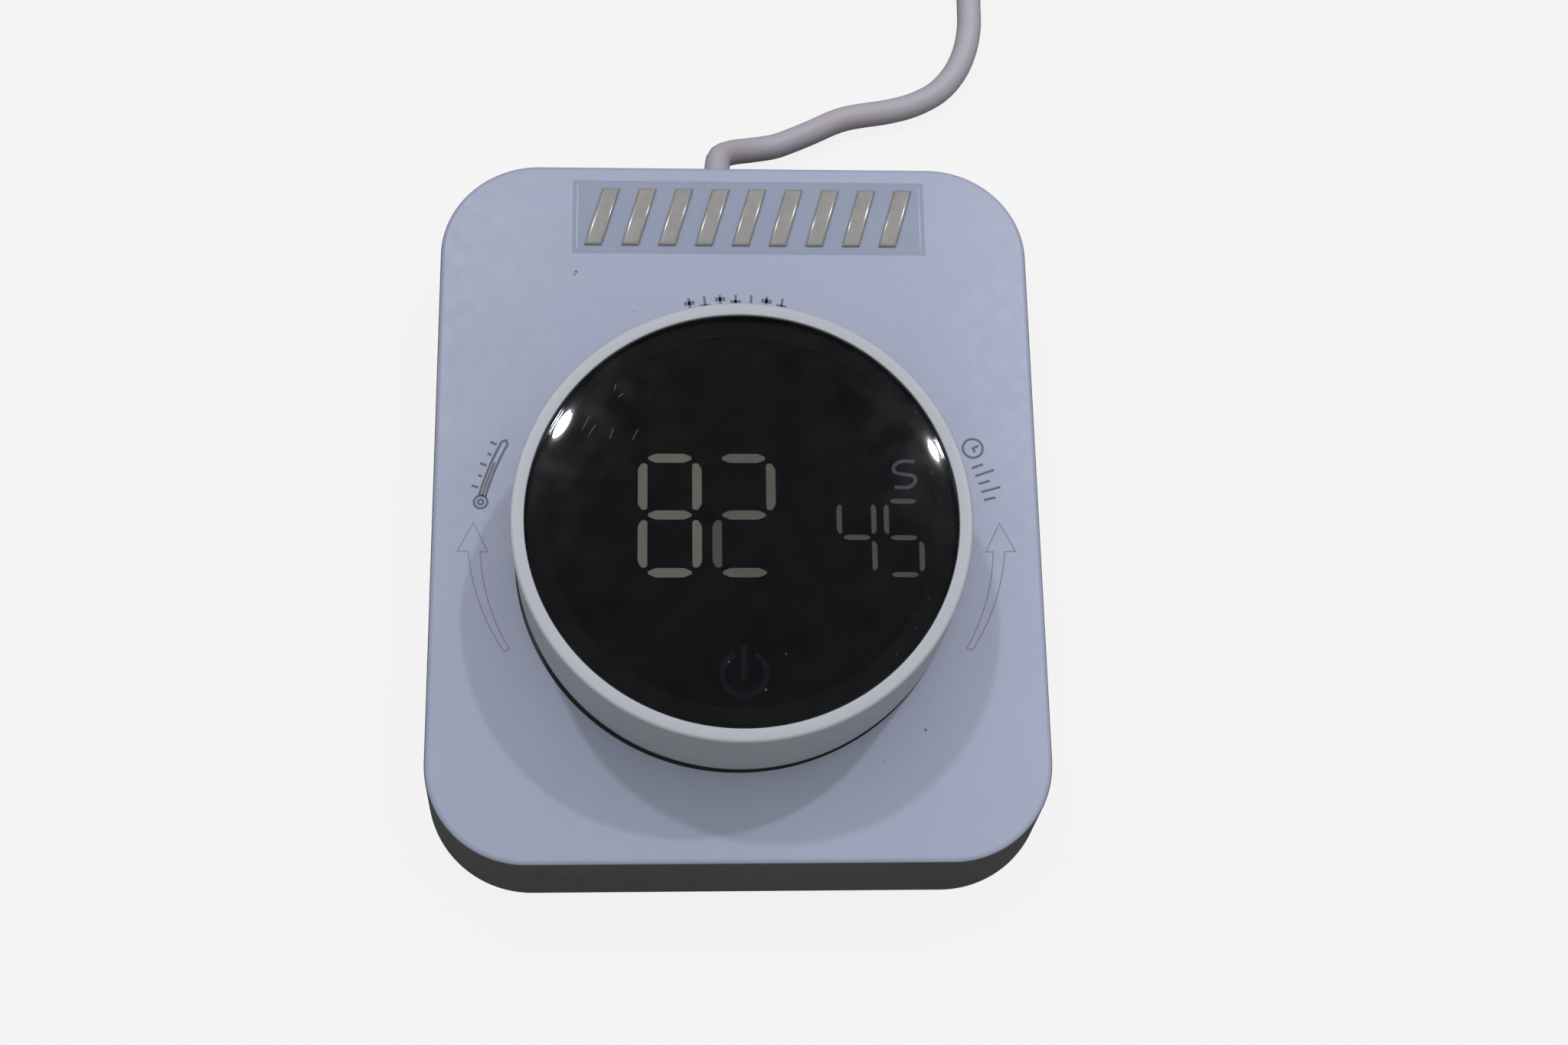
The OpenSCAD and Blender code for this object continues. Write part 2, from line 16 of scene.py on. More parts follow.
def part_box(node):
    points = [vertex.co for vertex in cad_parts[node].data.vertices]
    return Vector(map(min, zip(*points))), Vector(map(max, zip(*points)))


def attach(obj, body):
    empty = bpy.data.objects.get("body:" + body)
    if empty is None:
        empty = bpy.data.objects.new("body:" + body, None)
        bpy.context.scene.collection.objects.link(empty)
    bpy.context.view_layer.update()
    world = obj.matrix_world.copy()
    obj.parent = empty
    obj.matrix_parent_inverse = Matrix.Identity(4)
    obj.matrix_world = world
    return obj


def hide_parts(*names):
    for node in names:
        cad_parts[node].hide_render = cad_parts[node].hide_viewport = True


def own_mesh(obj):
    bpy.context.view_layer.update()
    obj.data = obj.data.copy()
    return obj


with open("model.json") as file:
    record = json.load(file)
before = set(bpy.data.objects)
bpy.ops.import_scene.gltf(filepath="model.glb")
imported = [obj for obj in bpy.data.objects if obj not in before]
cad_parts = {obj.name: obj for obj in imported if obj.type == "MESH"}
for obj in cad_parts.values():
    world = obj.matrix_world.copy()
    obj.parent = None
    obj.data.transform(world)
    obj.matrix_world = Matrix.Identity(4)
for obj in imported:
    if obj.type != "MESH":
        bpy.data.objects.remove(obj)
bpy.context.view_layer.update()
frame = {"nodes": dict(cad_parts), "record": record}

MM = 0.001

# ---------------------------------------------------------------- CAD sizes

CASE_LOW, CASE_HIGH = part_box("lower_casing")
TOP_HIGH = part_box("top_casing")[1]
DIAL_LOW, DIAL_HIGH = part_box("dial_ring")
LENS_LOW, LENS_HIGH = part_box("lens")
FILM_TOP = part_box("display_film")[1].z
LABEL_LOW, LABEL_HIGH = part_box("badge_film")
BARS_LOW, BARS_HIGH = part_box("badge_bars")
RELIEF_LOW, RELIEF_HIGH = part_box("strain_relief")
COIL_LOW, COIL_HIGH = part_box("cord_coil")
GRIP_LOW, GRIP_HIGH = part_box("connector_grip")
SHELL_LOW, SHELL_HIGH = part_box("connector_shell")

PLATE_Z = TOP_HIGH.z
FOOT_H = CASE_LOW.z
ORIGIN = Vector((0, 0, 0))
# Points on the table under the middles of the knob, the coil and the label
KNOB, COIL_MIDDLE, LABEL_MIDDLE = (
    Vector((*(low + high).xy / 2, 0))
    for low, high in ((DIAL_LOW, DIAL_HIGH), (COIL_LOW, COIL_HIGH), (LABEL_LOW, LABEL_HIGH))
)
DIAL_R = (DIAL_HIGH.x - DIAL_LOW.x) / 2
LENS_R = (LENS_HIGH.x - LENS_LOW.x) / 2

# Case: the walls lean out towards the bottom
FLARE = 1.15 * MM
CORNER_R = 17.3 * MM
WALL = 2 * MM
PLATE_T = 2.2 * MM
EDGE_R = 1 * MM
LIP = 2.6 * MM
GUIDE_R = 16.05 * MM
CASE_W = CASE_HIGH.x - CASE_LOW.x - 2 * FLARE
CASE_D = CASE_HIGH.y - CASE_LOW.y - 2 * FLARE
# The casings part half-way down the rounded top edge
PART_ANGLE = 30
SPLIT_Z = PLATE_Z - EDGE_R * (1 - math.sin(math.radians(PART_ANGLE)))

# Lens: nearly flat in the middle, bending at its rim
DOME_RISE = 1.35 * MM
DOME_POWER = 3.7
RIM_DROP, RIM_POWER = 0.043 * MM, 38
BEAD_R, BEAD_HALF, BEAD_H = 34.85 * MM, 0.4 * MM, 0.03 * MM

CORD_D = 4.7 * MM
TIE_T = 0.8 * MM

# ---------------------------------------------------------------- camera, light

CAMERA_AT = (-0.01393, -0.12976, 0.39685)
CAMERA_YAW, CAMERA_PITCH, CAMERA_ROLL = -0.173, 0.327, 0.165
CAMERA_LENS = 52.62

# Two small lamps behind the object, each given by a place near its glint on the lens,
# the way to it from there, and its diameter
LAMPS = {
    "lamp_rear_left": ((-0.0297, 0.0044, 0.0446), (-0.244, 0.464, 0.851), 0.13),
    "lamp_rear_right": ((0.0323, 0.0002, 0.0444), (0.337, 0.422, 0.842), 0.09),
}
LAMP_AWAY = 2.5
LAMP_POWER = 12.2
LAMP_COLOUR = (0.97, 1.0, 1.05)
SKY_TOP, SKY_EDGE = 1.09, 0.14
SKY_TOP_COLOUR, SKY_EDGE_COLOUR = (0.96, 1.01, 0.97), (1.02, 1.03, 0.78)
SKY_IN_GLOSS = 0.022
BACKDROP = 0.9
FLOOR_GLOW, FLOOR_GLOW_ON_OBJECT = 0.855, 0.10


def either(tree, share, first, second, output):
    """Shows first where share is 0 and second where it is 1."""
    node = tree.nodes.new("ShaderNodeMixShader")
    tree.links.new(share, node.inputs["Fac"])
    tree.links.new(first.outputs[0], node.inputs[1])
    tree.links.new(second.outputs[0], node.inputs[2])
    tree.links.new(node.outputs["Shader"], tree.nodes[output].inputs["Surface"])


def make_camera():
    data = bpy.data.cameras.new("camera")
    data.lens = CAMERA_LENS
    data.clip_start = 0.01
    camera = bpy.data.objects.new("camera", data)
    camera.matrix_world = (
        Matrix.Translation(CAMERA_AT)
        @ Matrix.Rotation(CAMERA_YAW, 4, "Z")
        @ Matrix.Rotation(CAMERA_PITCH, 4, "X")
        @ Matrix.Rotation(CAMERA_ROLL, 4, "Z")
    )
    bpy.context.collection.objects.link(camera)
    bpy.context.scene.camera = camera


def make_lamps():
    for name, (spot, way, across) in LAMPS.items():
        data = bpy.data.lights.new(name, "AREA")
        data.shape = "DISK"
        data.size = across
        data.energy = LAMP_POWER
        data.color = LAMP_COLOUR
        lamp = bpy.data.objects.new(name, data)
        lamp.location = Vector(spot) + Vector(way).normalized() * LAMP_AWAY
        lamp.rotation_euler = Vector(way).to_track_quat("Z", "Y").to_euler()
        bpy.context.collection.objects.link(lamp)


def make_sky():
    """A sky, brightest overhead, that shows dim in glossy surfaces, like a ceiling. Behind the
    object stands a plain pale backdrop."""
    world = bpy.data.worlds.new("sky")
    bpy.context.scene.world = world
    world.use_nodes = True
    tree = world.node_tree
    back = tree.nodes["Background"]
    coords = tree.nodes.new("ShaderNodeTexCoord")
    split = tree.nodes.new("ShaderNodeSeparateXYZ")
    height = tree.nodes.new("ShaderNodeMapRange")
    path = tree.nodes.new("ShaderNodeLightPath")
    mix = tree.nodes.new("ShaderNodeMix")
    height.inputs["To Min"].default_value = SKY_EDGE
    height.inputs["To Max"].default_value = SKY_TOP
    mix.inputs["B"].default_value = SKY_IN_GLOSS
    tree.links.new(coords.outputs["Generated"], split.inputs["Vector"])
    tree.links.new(split.outputs["Z"], height.inputs["Value"])
    tree.links.new(path.outputs["Is Glossy Ray"], mix.inputs["Factor"])
    tree.links.new(height.outputs["Result"], mix.inputs["A"])
    tree.links.new(mix.outputs["Result"], back.inputs["Strength"])
    tint = tree.nodes.new("ShaderNodeValToRGB")
    low, high = tint.color_ramp.elements
    low.color, high.color = (*SKY_EDGE_COLOUR, 1), (*SKY_TOP_COLOUR, 1)
    tree.links.new(split.outputs["Z"], tint.inputs["Fac"])
    tree.links.new(tint.outputs["Color"], back.inputs["Color"])
    plain = tree.nodes.new("ShaderNodeBackground")
    plain.inputs["Color"].default_value = (1, 1, 1, 1)
    plain.inputs["Strength"].default_value = BACKDROP
    either(tree, path.outputs["Is Camera Ray"], back, plain, "World Output")


make_camera()
make_lamps()
make_sky()
bpy.context.scene.view_settings.view_transform = "Standard"

# ---------------------------------------------------------------- materials


class Paint:
    """A Principled material with a few node helpers, in object coordinates."""

    def __init__(self, name, rough=0.5, metallic=0.0, **sockets):
        self.material = bpy.data.materials.new(name)
        self.material.use_nodes = True
        self.tree = self.material.node_tree
        self.shader = self.tree.nodes["Principled BSDF"]
        self.shader.inputs["Roughness"].default_value = rough
        self.shader.inputs["Metallic"].default_value = metallic
        for key, value in sockets.items():
            self.shader.inputs[key.replace("_", " ")].default_value = value
        self.coords = self.tree.nodes.new("ShaderNodeTexCoord").outputs["Object"]

    def link(self, out, to):
        self.tree.links.new(out, to)

    def noise(self, size, detail=3.0, squeeze=(1, 1, 1)):
        """Noise whose features are about size metres across, less where it is squeezed."""
        place = self.tree.nodes.new("ShaderNodeMapping")
        place.inputs["Scale"].default_value = squeeze
        self.link(self.coords, place.inputs["Vector"])
        node = self.tree.nodes.new("ShaderNodeTexNoise")
        node.inputs["Scale"].default_value = 1 / size
        node.inputs["Detail"].default_value = detail
        self.link(place.outputs["Vector"], node.inputs["Vector"])
        return node.outputs["Fac"]

    def specks(self, spacing, share):
        """1 inside rare small dots, 0 elsewhere."""
        node = self.tree.nodes.new("ShaderNodeTexVoronoi")
        node.inputs["Scale"].default_value = 1 / spacing
        self.link(self.coords, node.inputs["Vector"])
        return self.spread(node.outputs["Distance"], share * 0.6, share, 1, 0)

    def spread(self, value, low, high, to_low, to_high):
        node = self.tree.nodes.new("ShaderNodeMapRange")
        self.link(value, node.inputs["Value"])
        numbers = {"From Min": low, "From Max": high, "To Min": to_low, "To Max": to_high}
        for key, number in numbers.items():
            node.inputs[key].default_value = number
        return node.outputs["Result"]

    def blend(self, value, low, high):
        """A colour from low to high as value goes from 0.3 to 0.7."""
        node = self.tree.nodes.new("ShaderNodeValToRGB")
        first, last = node.color_ramp.elements
        first.position, last.position = 0.3, 0.7
        first.color, last.color = (*low, 1), (*high, 1)
        self.link(value, node.inputs["Fac"])
        return node.outputs["Color"]

    def mix(self, value, low, high):
        """Colour low where value is 0 and high where it is 1; either may be a socket."""
        node = self.tree.nodes.new("ShaderNodeMix")
        node.data_type = "RGBA"
        self.link(value, node.inputs["Factor"])
        for key, colour in (("A", low), ("B", high)):
            to = next(s for s in node.inputs if s.name == key and s.type == "RGBA")
            if isinstance(colour, tuple):
                to.default_value = (*colour, 1)
            else:
                self.link(colour, to)
        return next(s for s in node.outputs if s.type == "RGBA")

    def colour(self, out):
        self.link(out, self.shader.inputs["Base Color"])

    def rough(self, out):
        self.link(out, self.shader.inputs["Roughness"])

    def bump(self, height, distance):
        node = self.tree.nodes.new("ShaderNodeBump")
        node.inputs["Distance"].default_value = distance
        self.link(height, node.inputs["Height"])
        self.link(node.outputs["Normal"], self.shader.inputs["Normal"])


def shade(colour, factor):
    return tuple(c * factor for c in colour)


def moulded(
    name, colour, rough=0.45, vary=0.05, grain=0.35 * MM, depth=0.012 * MM, dust=0.0, lean=0.0
):
    """Moulded plastic: slow colour drift, uneven gloss, a fine grain and a little dust.
    lean paints light into the colour: it makes it that much lighter at the right and darker at the
    left."""
    p = Paint(name)
    drift = p.noise(22 * MM)
    left, right = (
        p.blend(drift, shade(colour, level - vary), shade(colour, level + vary))
        for level in (1 - lean, 1 + lean)
    )
    tint = left
    # Painted light: a colour gradient across X, lighter at the right and darker at the left.
    if lean:
        split = p.tree.nodes.new("ShaderNodeSeparateXYZ")
        p.link(p.coords, split.inputs["Vector"])
        tint = p.mix(p.spread(split.outputs["X"], -0.05, 0.05, 0, 1), left, right)
    if dust:
        tint = p.mix(p.specks(9 * MM, dust), tint, shade(colour, 0.35))
    p.colour(tint)
    p.rough(p.spread(p.noise(3 * MM), 0.3, 0.7, rough - 0.06, rough + 0.06))
    p.bump(p.noise(grain, 2.0), depth)
    return p.material


def metal(name, colour, rough=0.3, brushed=(1, 1, 1)):
    """Satin metal with fine brushing, squeezed by brushed along each axis."""
    p = Paint(name, metallic=0.6)
    lines = p.noise(0.25 * MM, 2.0, brushed)
    p.colour(p.blend(lines, shade(colour, 0.82), colour))
    p.rough(p.spread(p.noise(0.6 * MM), 0.3, 0.7, rough - 0.08, rough + 0.1))
    p.bump(lines, 0.0008 * MM)
    return p.material


def circuit_board(name, colour):
    """Solder mask with paler tracks under it."""
    p = Paint(name, rough=0.35)
    wave = p.tree.nodes.new("ShaderNodeTexWave")
    wave.inputs["Scale"].default_value = 120
    wave.inputs["Distortion"].default_value = 6
    p.link(p.coords, wave.inputs["Vector"])
    tracks = p.spread(wave.outputs["Fac"], 0.75, 0.8, 0, 1)
    p.colour(p.mix(tracks, colour, shade(colour, 1.5)))
    p.bump(tracks, 0.02 * MM)
    return p.material


def woven(name, colour):
    """Hook-and-loop strap: a close weave with fuzz."""
    p = Paint(name, rough=0.9, Sheen_Weight=0.4, Sheen_Roughness=0.5)
    weave = p.noise(0.5 * MM, 4.0, (1, 3, 1))
    p.colour(p.blend(weave, shade(colour, 0.6), shade(colour, 1.7)))
    p.bump(weave, 0.12 * MM)
    return p.material


def jacket(name, colour):
    """Smooth PVC cord jacket: faint warm and cool blotches and handling marks."""
    p = Paint(name, rough=0.5)
    warm = (colour[0] * 1.05, colour[1] * 0.97, colour[2] * 0.95)
    cool = (colour[0] * 0.95, colour[1] * 1.0, colour[2] * 1.06)
    p.colour(p.blend(p.noise(14 * MM), warm, cool))
    p.rough(p.spread(p.noise(4 * MM), 0.3, 0.7, 0.42, 0.58))
    p.bump(p.noise(0.8 * MM), 0.02 * MM)
    return p.material


def smoked_lens(name):
    """Clear cover with a faint haze, polished, under a thin film of dust and fingerprints
    that spreads each lamp's light a little."""
    p = Paint(
        name, rough=0.03, IOR=1.49, Transmission_Weight=0.9985, Coat_Roughness=0.26, Coat_IOR=1.5
    )
    p.shader.inputs["Base Color"].default_value = (0.50, 0.51, 0.58, 1)
    smears = p.spread(p.noise(5 * MM, 5.0), 0.40, 0.70, 0.018, 0.08)
    p.link(smears, p.shader.inputs["Coat Weight"])
    return p.material


def clear_label(name):
    """Clear sticker film: nearly invisible, glossy, slightly wrinkled."""
    p = Paint(name, rough=0.15, Alpha=0.10)
    p.colour(p.blend(p.noise(8 * MM), (0.18, 0.235, 0.34), (0.24, 0.29, 0.41)))
    p.bump(p.noise(2.5 * MM), 0.03 * MM)
    return p.material


def foil(name):
    """Dull silver print under a glossy resin that glints along its edges."""
    p = Paint(name, rough=0.5, metallic=0.2, Coat_Weight=1.0, Coat_Roughness=0.17)
    blot = p.noise(2.2 * MM, 4.0)
    p.colour(p.blend(blot, (0.25, 0.235, 0.235), (0.29, 0.275, 0.27)))
    p.bump(p.noise(1.6 * MM, 4.0), 0.02 * MM)
    return p.material


def lit_bar(name, colour, strength):
    """A faintly lit display bar, a little uneven along its length."""
    p = Paint(name, rough=0.5)
    p.shader.inputs["Base Color"].default_value = (0.02, 0.02, 0.02, 1)
    glow = p.blend(p.noise(3 * MM), shade(colour, 0.9), colour)
    p.link(glow, p.shader.inputs["Emission Color"])
    p.shader.inputs["Emission Strength"].default_value = strength
    return p.material


PALE = (0.317, 0.335, 0.478)
MATERIALS = {
    # The pale case's colour carries painted light: lean=0.05 makes it lighter at the right and
    # darker at the left.
    "case_pale": moulded("case_pale", PALE, rough=0.42, vary=0.02, dust=0.02, lean=0.05),
    "case_dark": moulded("case_dark", (0.090, 0.090, 0.096), rough=0.55),
    "dial_white": moulded("dial_white", (0.395, 0.395, 0.465), rough=0.40, vary=0.02),
    "inner_plastic": moulded("inner_plastic", (0.70, 0.70, 0.68)),
    "black_plastic": moulded("black_plastic", (0.020, 0.020, 0.022), rough=0.5),
    "lens_glass": smoked_lens("lens_glass"),
    "display_film": moulded("display_film", (0.0012, 0.0012, 0.0013), rough=0.6),
    "clear_film": clear_label("clear_film"),
    "silver_foil": foil("silver_foil"),
    "steel": metal("steel", (0.56, 0.56, 0.58), 0.32, (1, 1, 4)),
    "spring_steel": metal("spring_steel", (0.46, 0.46, 0.47), 0.28),
    "circuit_board": circuit_board("circuit_board", (0.02, 0.13, 0.06)),
    "led_cream": moulded("led_cream", (0.80, 0.74, 0.50), rough=0.3),
    "ivory_nylon": moulded("ivory_nylon", (0.72, 0.68, 0.56)),
    "rubber_black": moulded("rubber_black", (0.022, 0.022, 0.023), 0.75, 0.1, 0.6 * MM, 0.04 * MM),
    "cord_pvc": jacket("cord_pvc", (0.385, 0.355, 0.42)),
    "core_wire": moulded("core_wire", (0.45, 0.06, 0.05), rough=0.35),
    "connector_metal": metal("connector_metal", (0.62, 0.61, 0.59), 0.33, (1, 6, 1)),
    "contact_gold": metal("contact_gold", (0.85, 0.60, 0.22), 0.25),
    "tie_fabric": woven("tie_fabric", (0.022, 0.022, 0.025)),
}
INK = moulded("ink", (0.115, 0.115, 0.16), rough=0.6, vary=0.12)
FAINT_INK = moulded("faint_ink", (0.215, 0.22, 0.30), rough=0.6, vary=0.06)
LIT = lit_bar("lit_bar", (1.0, 0.93, 0.70), 0.24)
FAINTER_LIT = lit_bar("fainter_bar", (1.0, 0.94, 0.70), 0.188)
SMALL_LIT = lit_bar("small_bar", (1.0, 0.97, 0.84), 0.122)
UNIT_LIT = lit_bar("unit_bar", (0.95, 0.96, 1.0), 0.115)
KEY_PRINT = moulded("key_print", (0.040, 0.040, 0.046), rough=0.5)
SCRATCH = moulded("scratch", (0.10, 0.10, 0.115), rough=0.3)


def slot_of(node):
    rows = frame["record"]["subparts"]
    return next(r["material_slot"] for r in rows if r["node"] == node)


def dress_cad_nodes():
    for name, node in frame["nodes"].items():
        node.data.materials.clear()
        node.data.materials.append(MATERIALS[slot_of(name)])


dress_cad_nodes()

# ---------------------------------------------------------------- mesh helpers


def add(name, vertices, faces, material, angle=30):
    """A new piece from points and faces, smooth except at creases."""
    mesh = bpy.data.meshes.new(name)
    mesh.from_pydata([tuple(v) for v in vertices], [], faces)
    tidy = bmesh.new()
    tidy.from_mesh(mesh)
    bmesh.ops.remove_doubles(tidy, verts=tidy.verts, dist=1e-7)
    bmesh.ops.dissolve_degenerate(tidy, edges=tidy.edges, dist=1e-8)
    bmesh.ops.recalc_face_normals(tidy, faces=tidy.faces)
    tidy.to_mesh(mesh)
    tidy.free()
    mesh.shade_smooth()
    mesh.set_sharp_from_angle(angle=math.radians(angle))
    mesh.materials.append(material)
    piece = bpy.data.objects.new(name, mesh)
    bpy.context.collection.objects.link(piece)
    return piece


def settle(piece, body, slot, *nodes):
    """The piece rides on a body and stands for CAD nodes, which it hides. The slot argument is not
    used.
    """
    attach(piece, body)
    if nodes:
        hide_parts(*nodes)
    return piece


def soften(node):
    """A copy of a CAD node, with a mesh of its own, that stands in for the hidden node."""
    piece = bpy.data.objects.new("live_" + node, frame["nodes"][node].data.copy())
    bpy.context.collection.objects.link(piece)
    settle(piece, "base", slot_of(node), node)
    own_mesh(piece)


def polar(radius, degrees, x=0, y=0):
    """A 2-D point at a distance and angle from x, y."""
    a = math.radians(degrees)
    return (x + radius * math.cos(a), y + radius * math.sin(a))


def rings_to_faces(rings, loop=False):
    """Vertices and quads through rings of equally many points. loop joins the last to the first."""
    count = len(rings[0])
    vertices = [p for ring in rings for p in ring]
    pairs = len(rings) if loop else len(rings) - 1
    faces = []
    for i in range(pairs):
        a, b = i * count, ((i + 1) % len(rings)) * count
        for k in range(count):
            j = (k + 1) % count
            faces.append((a + k, a + j, b + j, b + k))
    if not loop:
        faces.append(tuple(reversed(range(count))))
        last = (len(rings) - 1) * count
        faces.append(tuple(range(last, last + count)))
    return vertices, faces


def skin(name, rings, material, angle=30, loop=False):
    """A new piece through rings of points."""
    return add(name, *rings_to_faces(rings, loop), material, angle)


def circle(radius, count, x=0, y=0):
    return [polar(radius, 360 * k / count, x, y) for k in range(count)]


def lathe(name, profile, material, middle=KNOB, count=192, loop=False, angle=30):
    """A turned piece from (radius, height) points; loop for a ring, else its ends are closed."""
    rings = [
        [Vector((*p, z)) for p in circle(max(r, 1e-5), count, middle.x, middle.y)]
        for r, z in profile
    ]
    return skin(name, rings, material, angle, loop)


def arc_points(middle_r, middle_z, radius, start, end, steps):
    """(radius, height) points along an arc, angles in degrees."""
    turn = [start + (end - start) * i / steps for i in range(steps + 1)]
    return [polar(radius, a, middle_r, middle_z) for a in turn]


def join(pieces, name):
    """One piece made of several, keeping their materials."""
    with bpy.context.temp_override(
        active_object=pieces[0], selected_editable_objects=pieces, selected_objects=pieces
    ):
        bpy.ops.object.join()
    pieces[0].name = name
    return pieces[0]


def cut(piece, tool):
    """Takes tool's volume out of piece."""
    modifier = piece.modifiers.new("cut", "BOOLEAN")
    modifier.operation = "DIFFERENCE"
    modifier.solver = "EXACT"
    modifier.object = tool
    depsgraph = bpy.context.evaluated_depsgraph_get()
    mesh = bpy.data.meshes.new_from_object(piece.evaluated_get(depsgraph))
    piece.modifiers.clear()
    piece.data = mesh
    bpy.data.objects.remove(tool)


# ---------------------------------------------------------------- cord

# The route's points, as in the CAD source: from the clamp to the coil, and from
# the coil to the connector.
CORD_ROUTE = [
    (-2.9, 52, 12), (-2.9, 58, 12), (-2.9, 63, 12), (-2.9, 66.3, 11.9),
    (-2.8, 69.2, 11.1), (-2.6, 71, 10.2), (-2.1, 72.4, 9.1), (-1.2, 73.6, 7.8),
    (0, 74.6, 6.6), (1.4, 75.5, 5.4), (3, 76.2, 4.4), (4.8, 76.9, 3.6),
    (6.9, 77.6, 2.9), (9.2, 78.4, 2.5), (12.6, 79.9, 2.4), (16, 81.5, 2.4),
    (19.5, 83.3, 2.4), (22.4, 84.4, 2.4), (25.6, 85.1, 2.4), (30.7, 86, 2.4),
    (35.8, 87.6, 2.4), (40.5, 90.4, 2.4), (44, 94.6, 2.4), (46.1, 99.3, 2.4),
    (47.2, 104.5, 2.4), (47.4, 110, 2.4), (47.5, 118, 2.5), (47.6, 128, 2.9),
    (47.65, 138, 3.1),
]
TAIL_ROUTE = [
    (-3, 179.2, 7.8), (-7.5, 178.3, 7), (-12.5, 176.2, 5.4), (-17.5, 173, 4),
    (-22, 168.6, 3.7), (-25.4, 163.4, 4.3), (-27.4, 158, 5.3), (-28.2, 152, 6),
]
COIL_TURNS = 5.25
COIL_INNER_R = 18.55 * MM
COIL_TURN_OF_LAYER = 3.0
COIL_POINTS_A_TURN = 24
COIL_LOW_Z = TIE_T + CORD_D / 2


def smoothstep(x):
    x = min(max(x, 0.0), 1.0)
    return x * x * (3 - 2 * x)


def coil_radius(turns):
    """In to the middle on the lower layer, then out again on the upper one."""
    away = math.sqrt((turns - COIL_TURN_OF_LAYER) ** 2 + 0.01)
    return COIL_INNER_R + CORD_D * away


def coil_point(turns):
    climb = smoothstep((turns - COIL_TURN_OF_LAYER + 0.2) / 0.4)
    return Vector((
        *polar(coil_radius(turns), 360 * turns, COIL_MIDDLE.x, COIL_MIDDLE.y),
        COIL_LOW_Z + CORD_D * climb,
    ))


def coil_route():
    count = int(COIL_TURNS * COIL_POINTS_A_TURN)
    return [coil_point(i / COIL_POINTS_A_TURN) for i in range(count + 1)]


def fine_line(points, step):
    """A smooth line through the points, with points about step apart."""
    padded = [2 * points[0] - points[1], *points, 2 * points[-1] - points[-2]]
    line = []
    for a, b, c, d in zip(padded, padded[1:], padded[2:], padded[3:]):
        parts = max(1, round((c - b).length / step))
        for i in range(parts):
            t = i / parts
            line.append(0.5 * (
                2 * b + (c - a) * t + (2 * a - 5 * b + 4 * c - d) * t ** 2
                + (3 * b - a - 3 * c + d) * t ** 3
            ))
    return [*line, points[-1]]


def tube_rings(line, radius, sides):
    """Rings of points square to a line, turned as little as possible between points."""
    rings = []
    side = None
    for i, point in enumerate(line):
        ahead = (line[min(i + 1, len(line) - 1)] - line[max(i - 1, 0)]).normalized()
        if side is None:
            side = ahead.cross(Vector((0, 0, 1))).normalized()
        side = (side - ahead * side.dot(ahead)).normalized()
        up = ahead.cross(side)
        rings.append([point + u * side + v * up for u, v in circle(radius, sides)])
    return rings


def make_cord():
    route = [Vector(p) * MM for p in CORD_ROUTE]
    route += coil_route()
    route += [Vector(p) * MM for p in TAIL_ROUTE]
    line = fine_line(route, 1.5 * MM)
    cord = skin("cord", tube_rings(line, CORD_D / 2, 20), MATERIALS["cord_pvc"], 60)
    settle(cord, "base", "cord_pvc", "cord_run", "cord_coil", "cord_tail")
    return cord, line


cord, cord_line = make_cord()


def convex_outline(points):
    """The outside of a set of 2-D points, anticlockwise."""
    points = sorted(set((round(x, 7), round(y, 7)) for x, y in points))

    def half(order):
        chain = []
        for p in order:
            while len(chain) > 1:
                (ax, ay), (bx, by) = chain[-2], chain[-1]
                if (bx - ax) * (p[1] - ay) - (by - ay) * (p[0] - ax) > 0:
                    break
                chain.pop()
            chain.append(p)
        return chain[:-1]

    return half(points) + half(points[::-1])


def evenly(points, count):
    """count points spaced evenly round a closed 2-D outline."""
    corners = [Vector(p) for p in points]
    corners.append(corners[0])
    steps = [(b - a).length for a, b in zip(corners, corners[1:])]
    total = sum(steps)
    found = []
    at, i = 0.0, 0
    for k in range(count):
        want = total * k / count
        while at + steps[i] < want:
            at += steps[i]
            i += 1
        found.append(corners[i].lerp(corners[i + 1], (want - at) / steps[i]))
    return found


def make_tie():
    """A strap drawn tight round the bundle of turns."""
    first, last, steps = 215.0, 233.0, 8
    turn = (first + last) / 2 / 360
    centres = []
    for whole in range(math.ceil(COIL_TURNS)):
        if whole + turn <= COIL_TURNS:
            p = coil_point(whole + turn)
            centres.append(((p - COIL_MIDDLE).xy.length, p.z))

    def outline(radius):
        ring = [p for centre in centres for p in circle(radius, 36, *centre)]
        return evenly(convex_outline(ring), 96)

    outside = CORD_D / 2 + TIE_T * 0.98
    outer, edge = outline(outside), outline(outside - 0.18 * MM)
    inner = outline(CORD_D / 2 + 0.05 * MM)
    rings = []
    shapes = [edge, *[outer] * (steps - 1), edge, *[inner] * (steps + 1)]
    for i, shape in zip([*range(steps + 1), *range(steps, -1, -1)], shapes):
        angle = first + (last - first) * i / steps
        rings.append([COIL_MIDDLE + Vector((*polar(p.x, angle), p.y)) for p in shape])
    tie = skin("cord_strap", rings, MATERIALS["tie_fabric"], 50, loop=True)
    return settle(tie, "base", "tie_fabric", "cord_tie")


def turned_along_y(piece, at):
    """Lays a turned piece down: its +Z points to -Y from the point at."""
    piece.data.transform(Matrix.Translation(at) @ Matrix.Rotation(math.radians(90), 4, "X"))


def rear_middle(low, high):
    """The middle of a box's rear face."""
    return Vector(((low.x + high.x) / 2, high.y, (low.z + high.z) / 2))


CONNECTOR_AT = rear_middle(GRIP_LOW, GRIP_HIGH)
GRIP_L = GRIP_HIGH.y - GRIP_LOW.y
SHELL_AT = CONNECTOR_AT - Vector((0, GRIP_L, 0))
SHELL_L = SHELL_HIGH.y - SHELL_LOW.y
SHELL_R = (SHELL_HIGH.x - SHELL_LOW.x) / 2
SHELL_WALL = 0.8 * MM
SHELL_FLOOR = 2.2 * MM


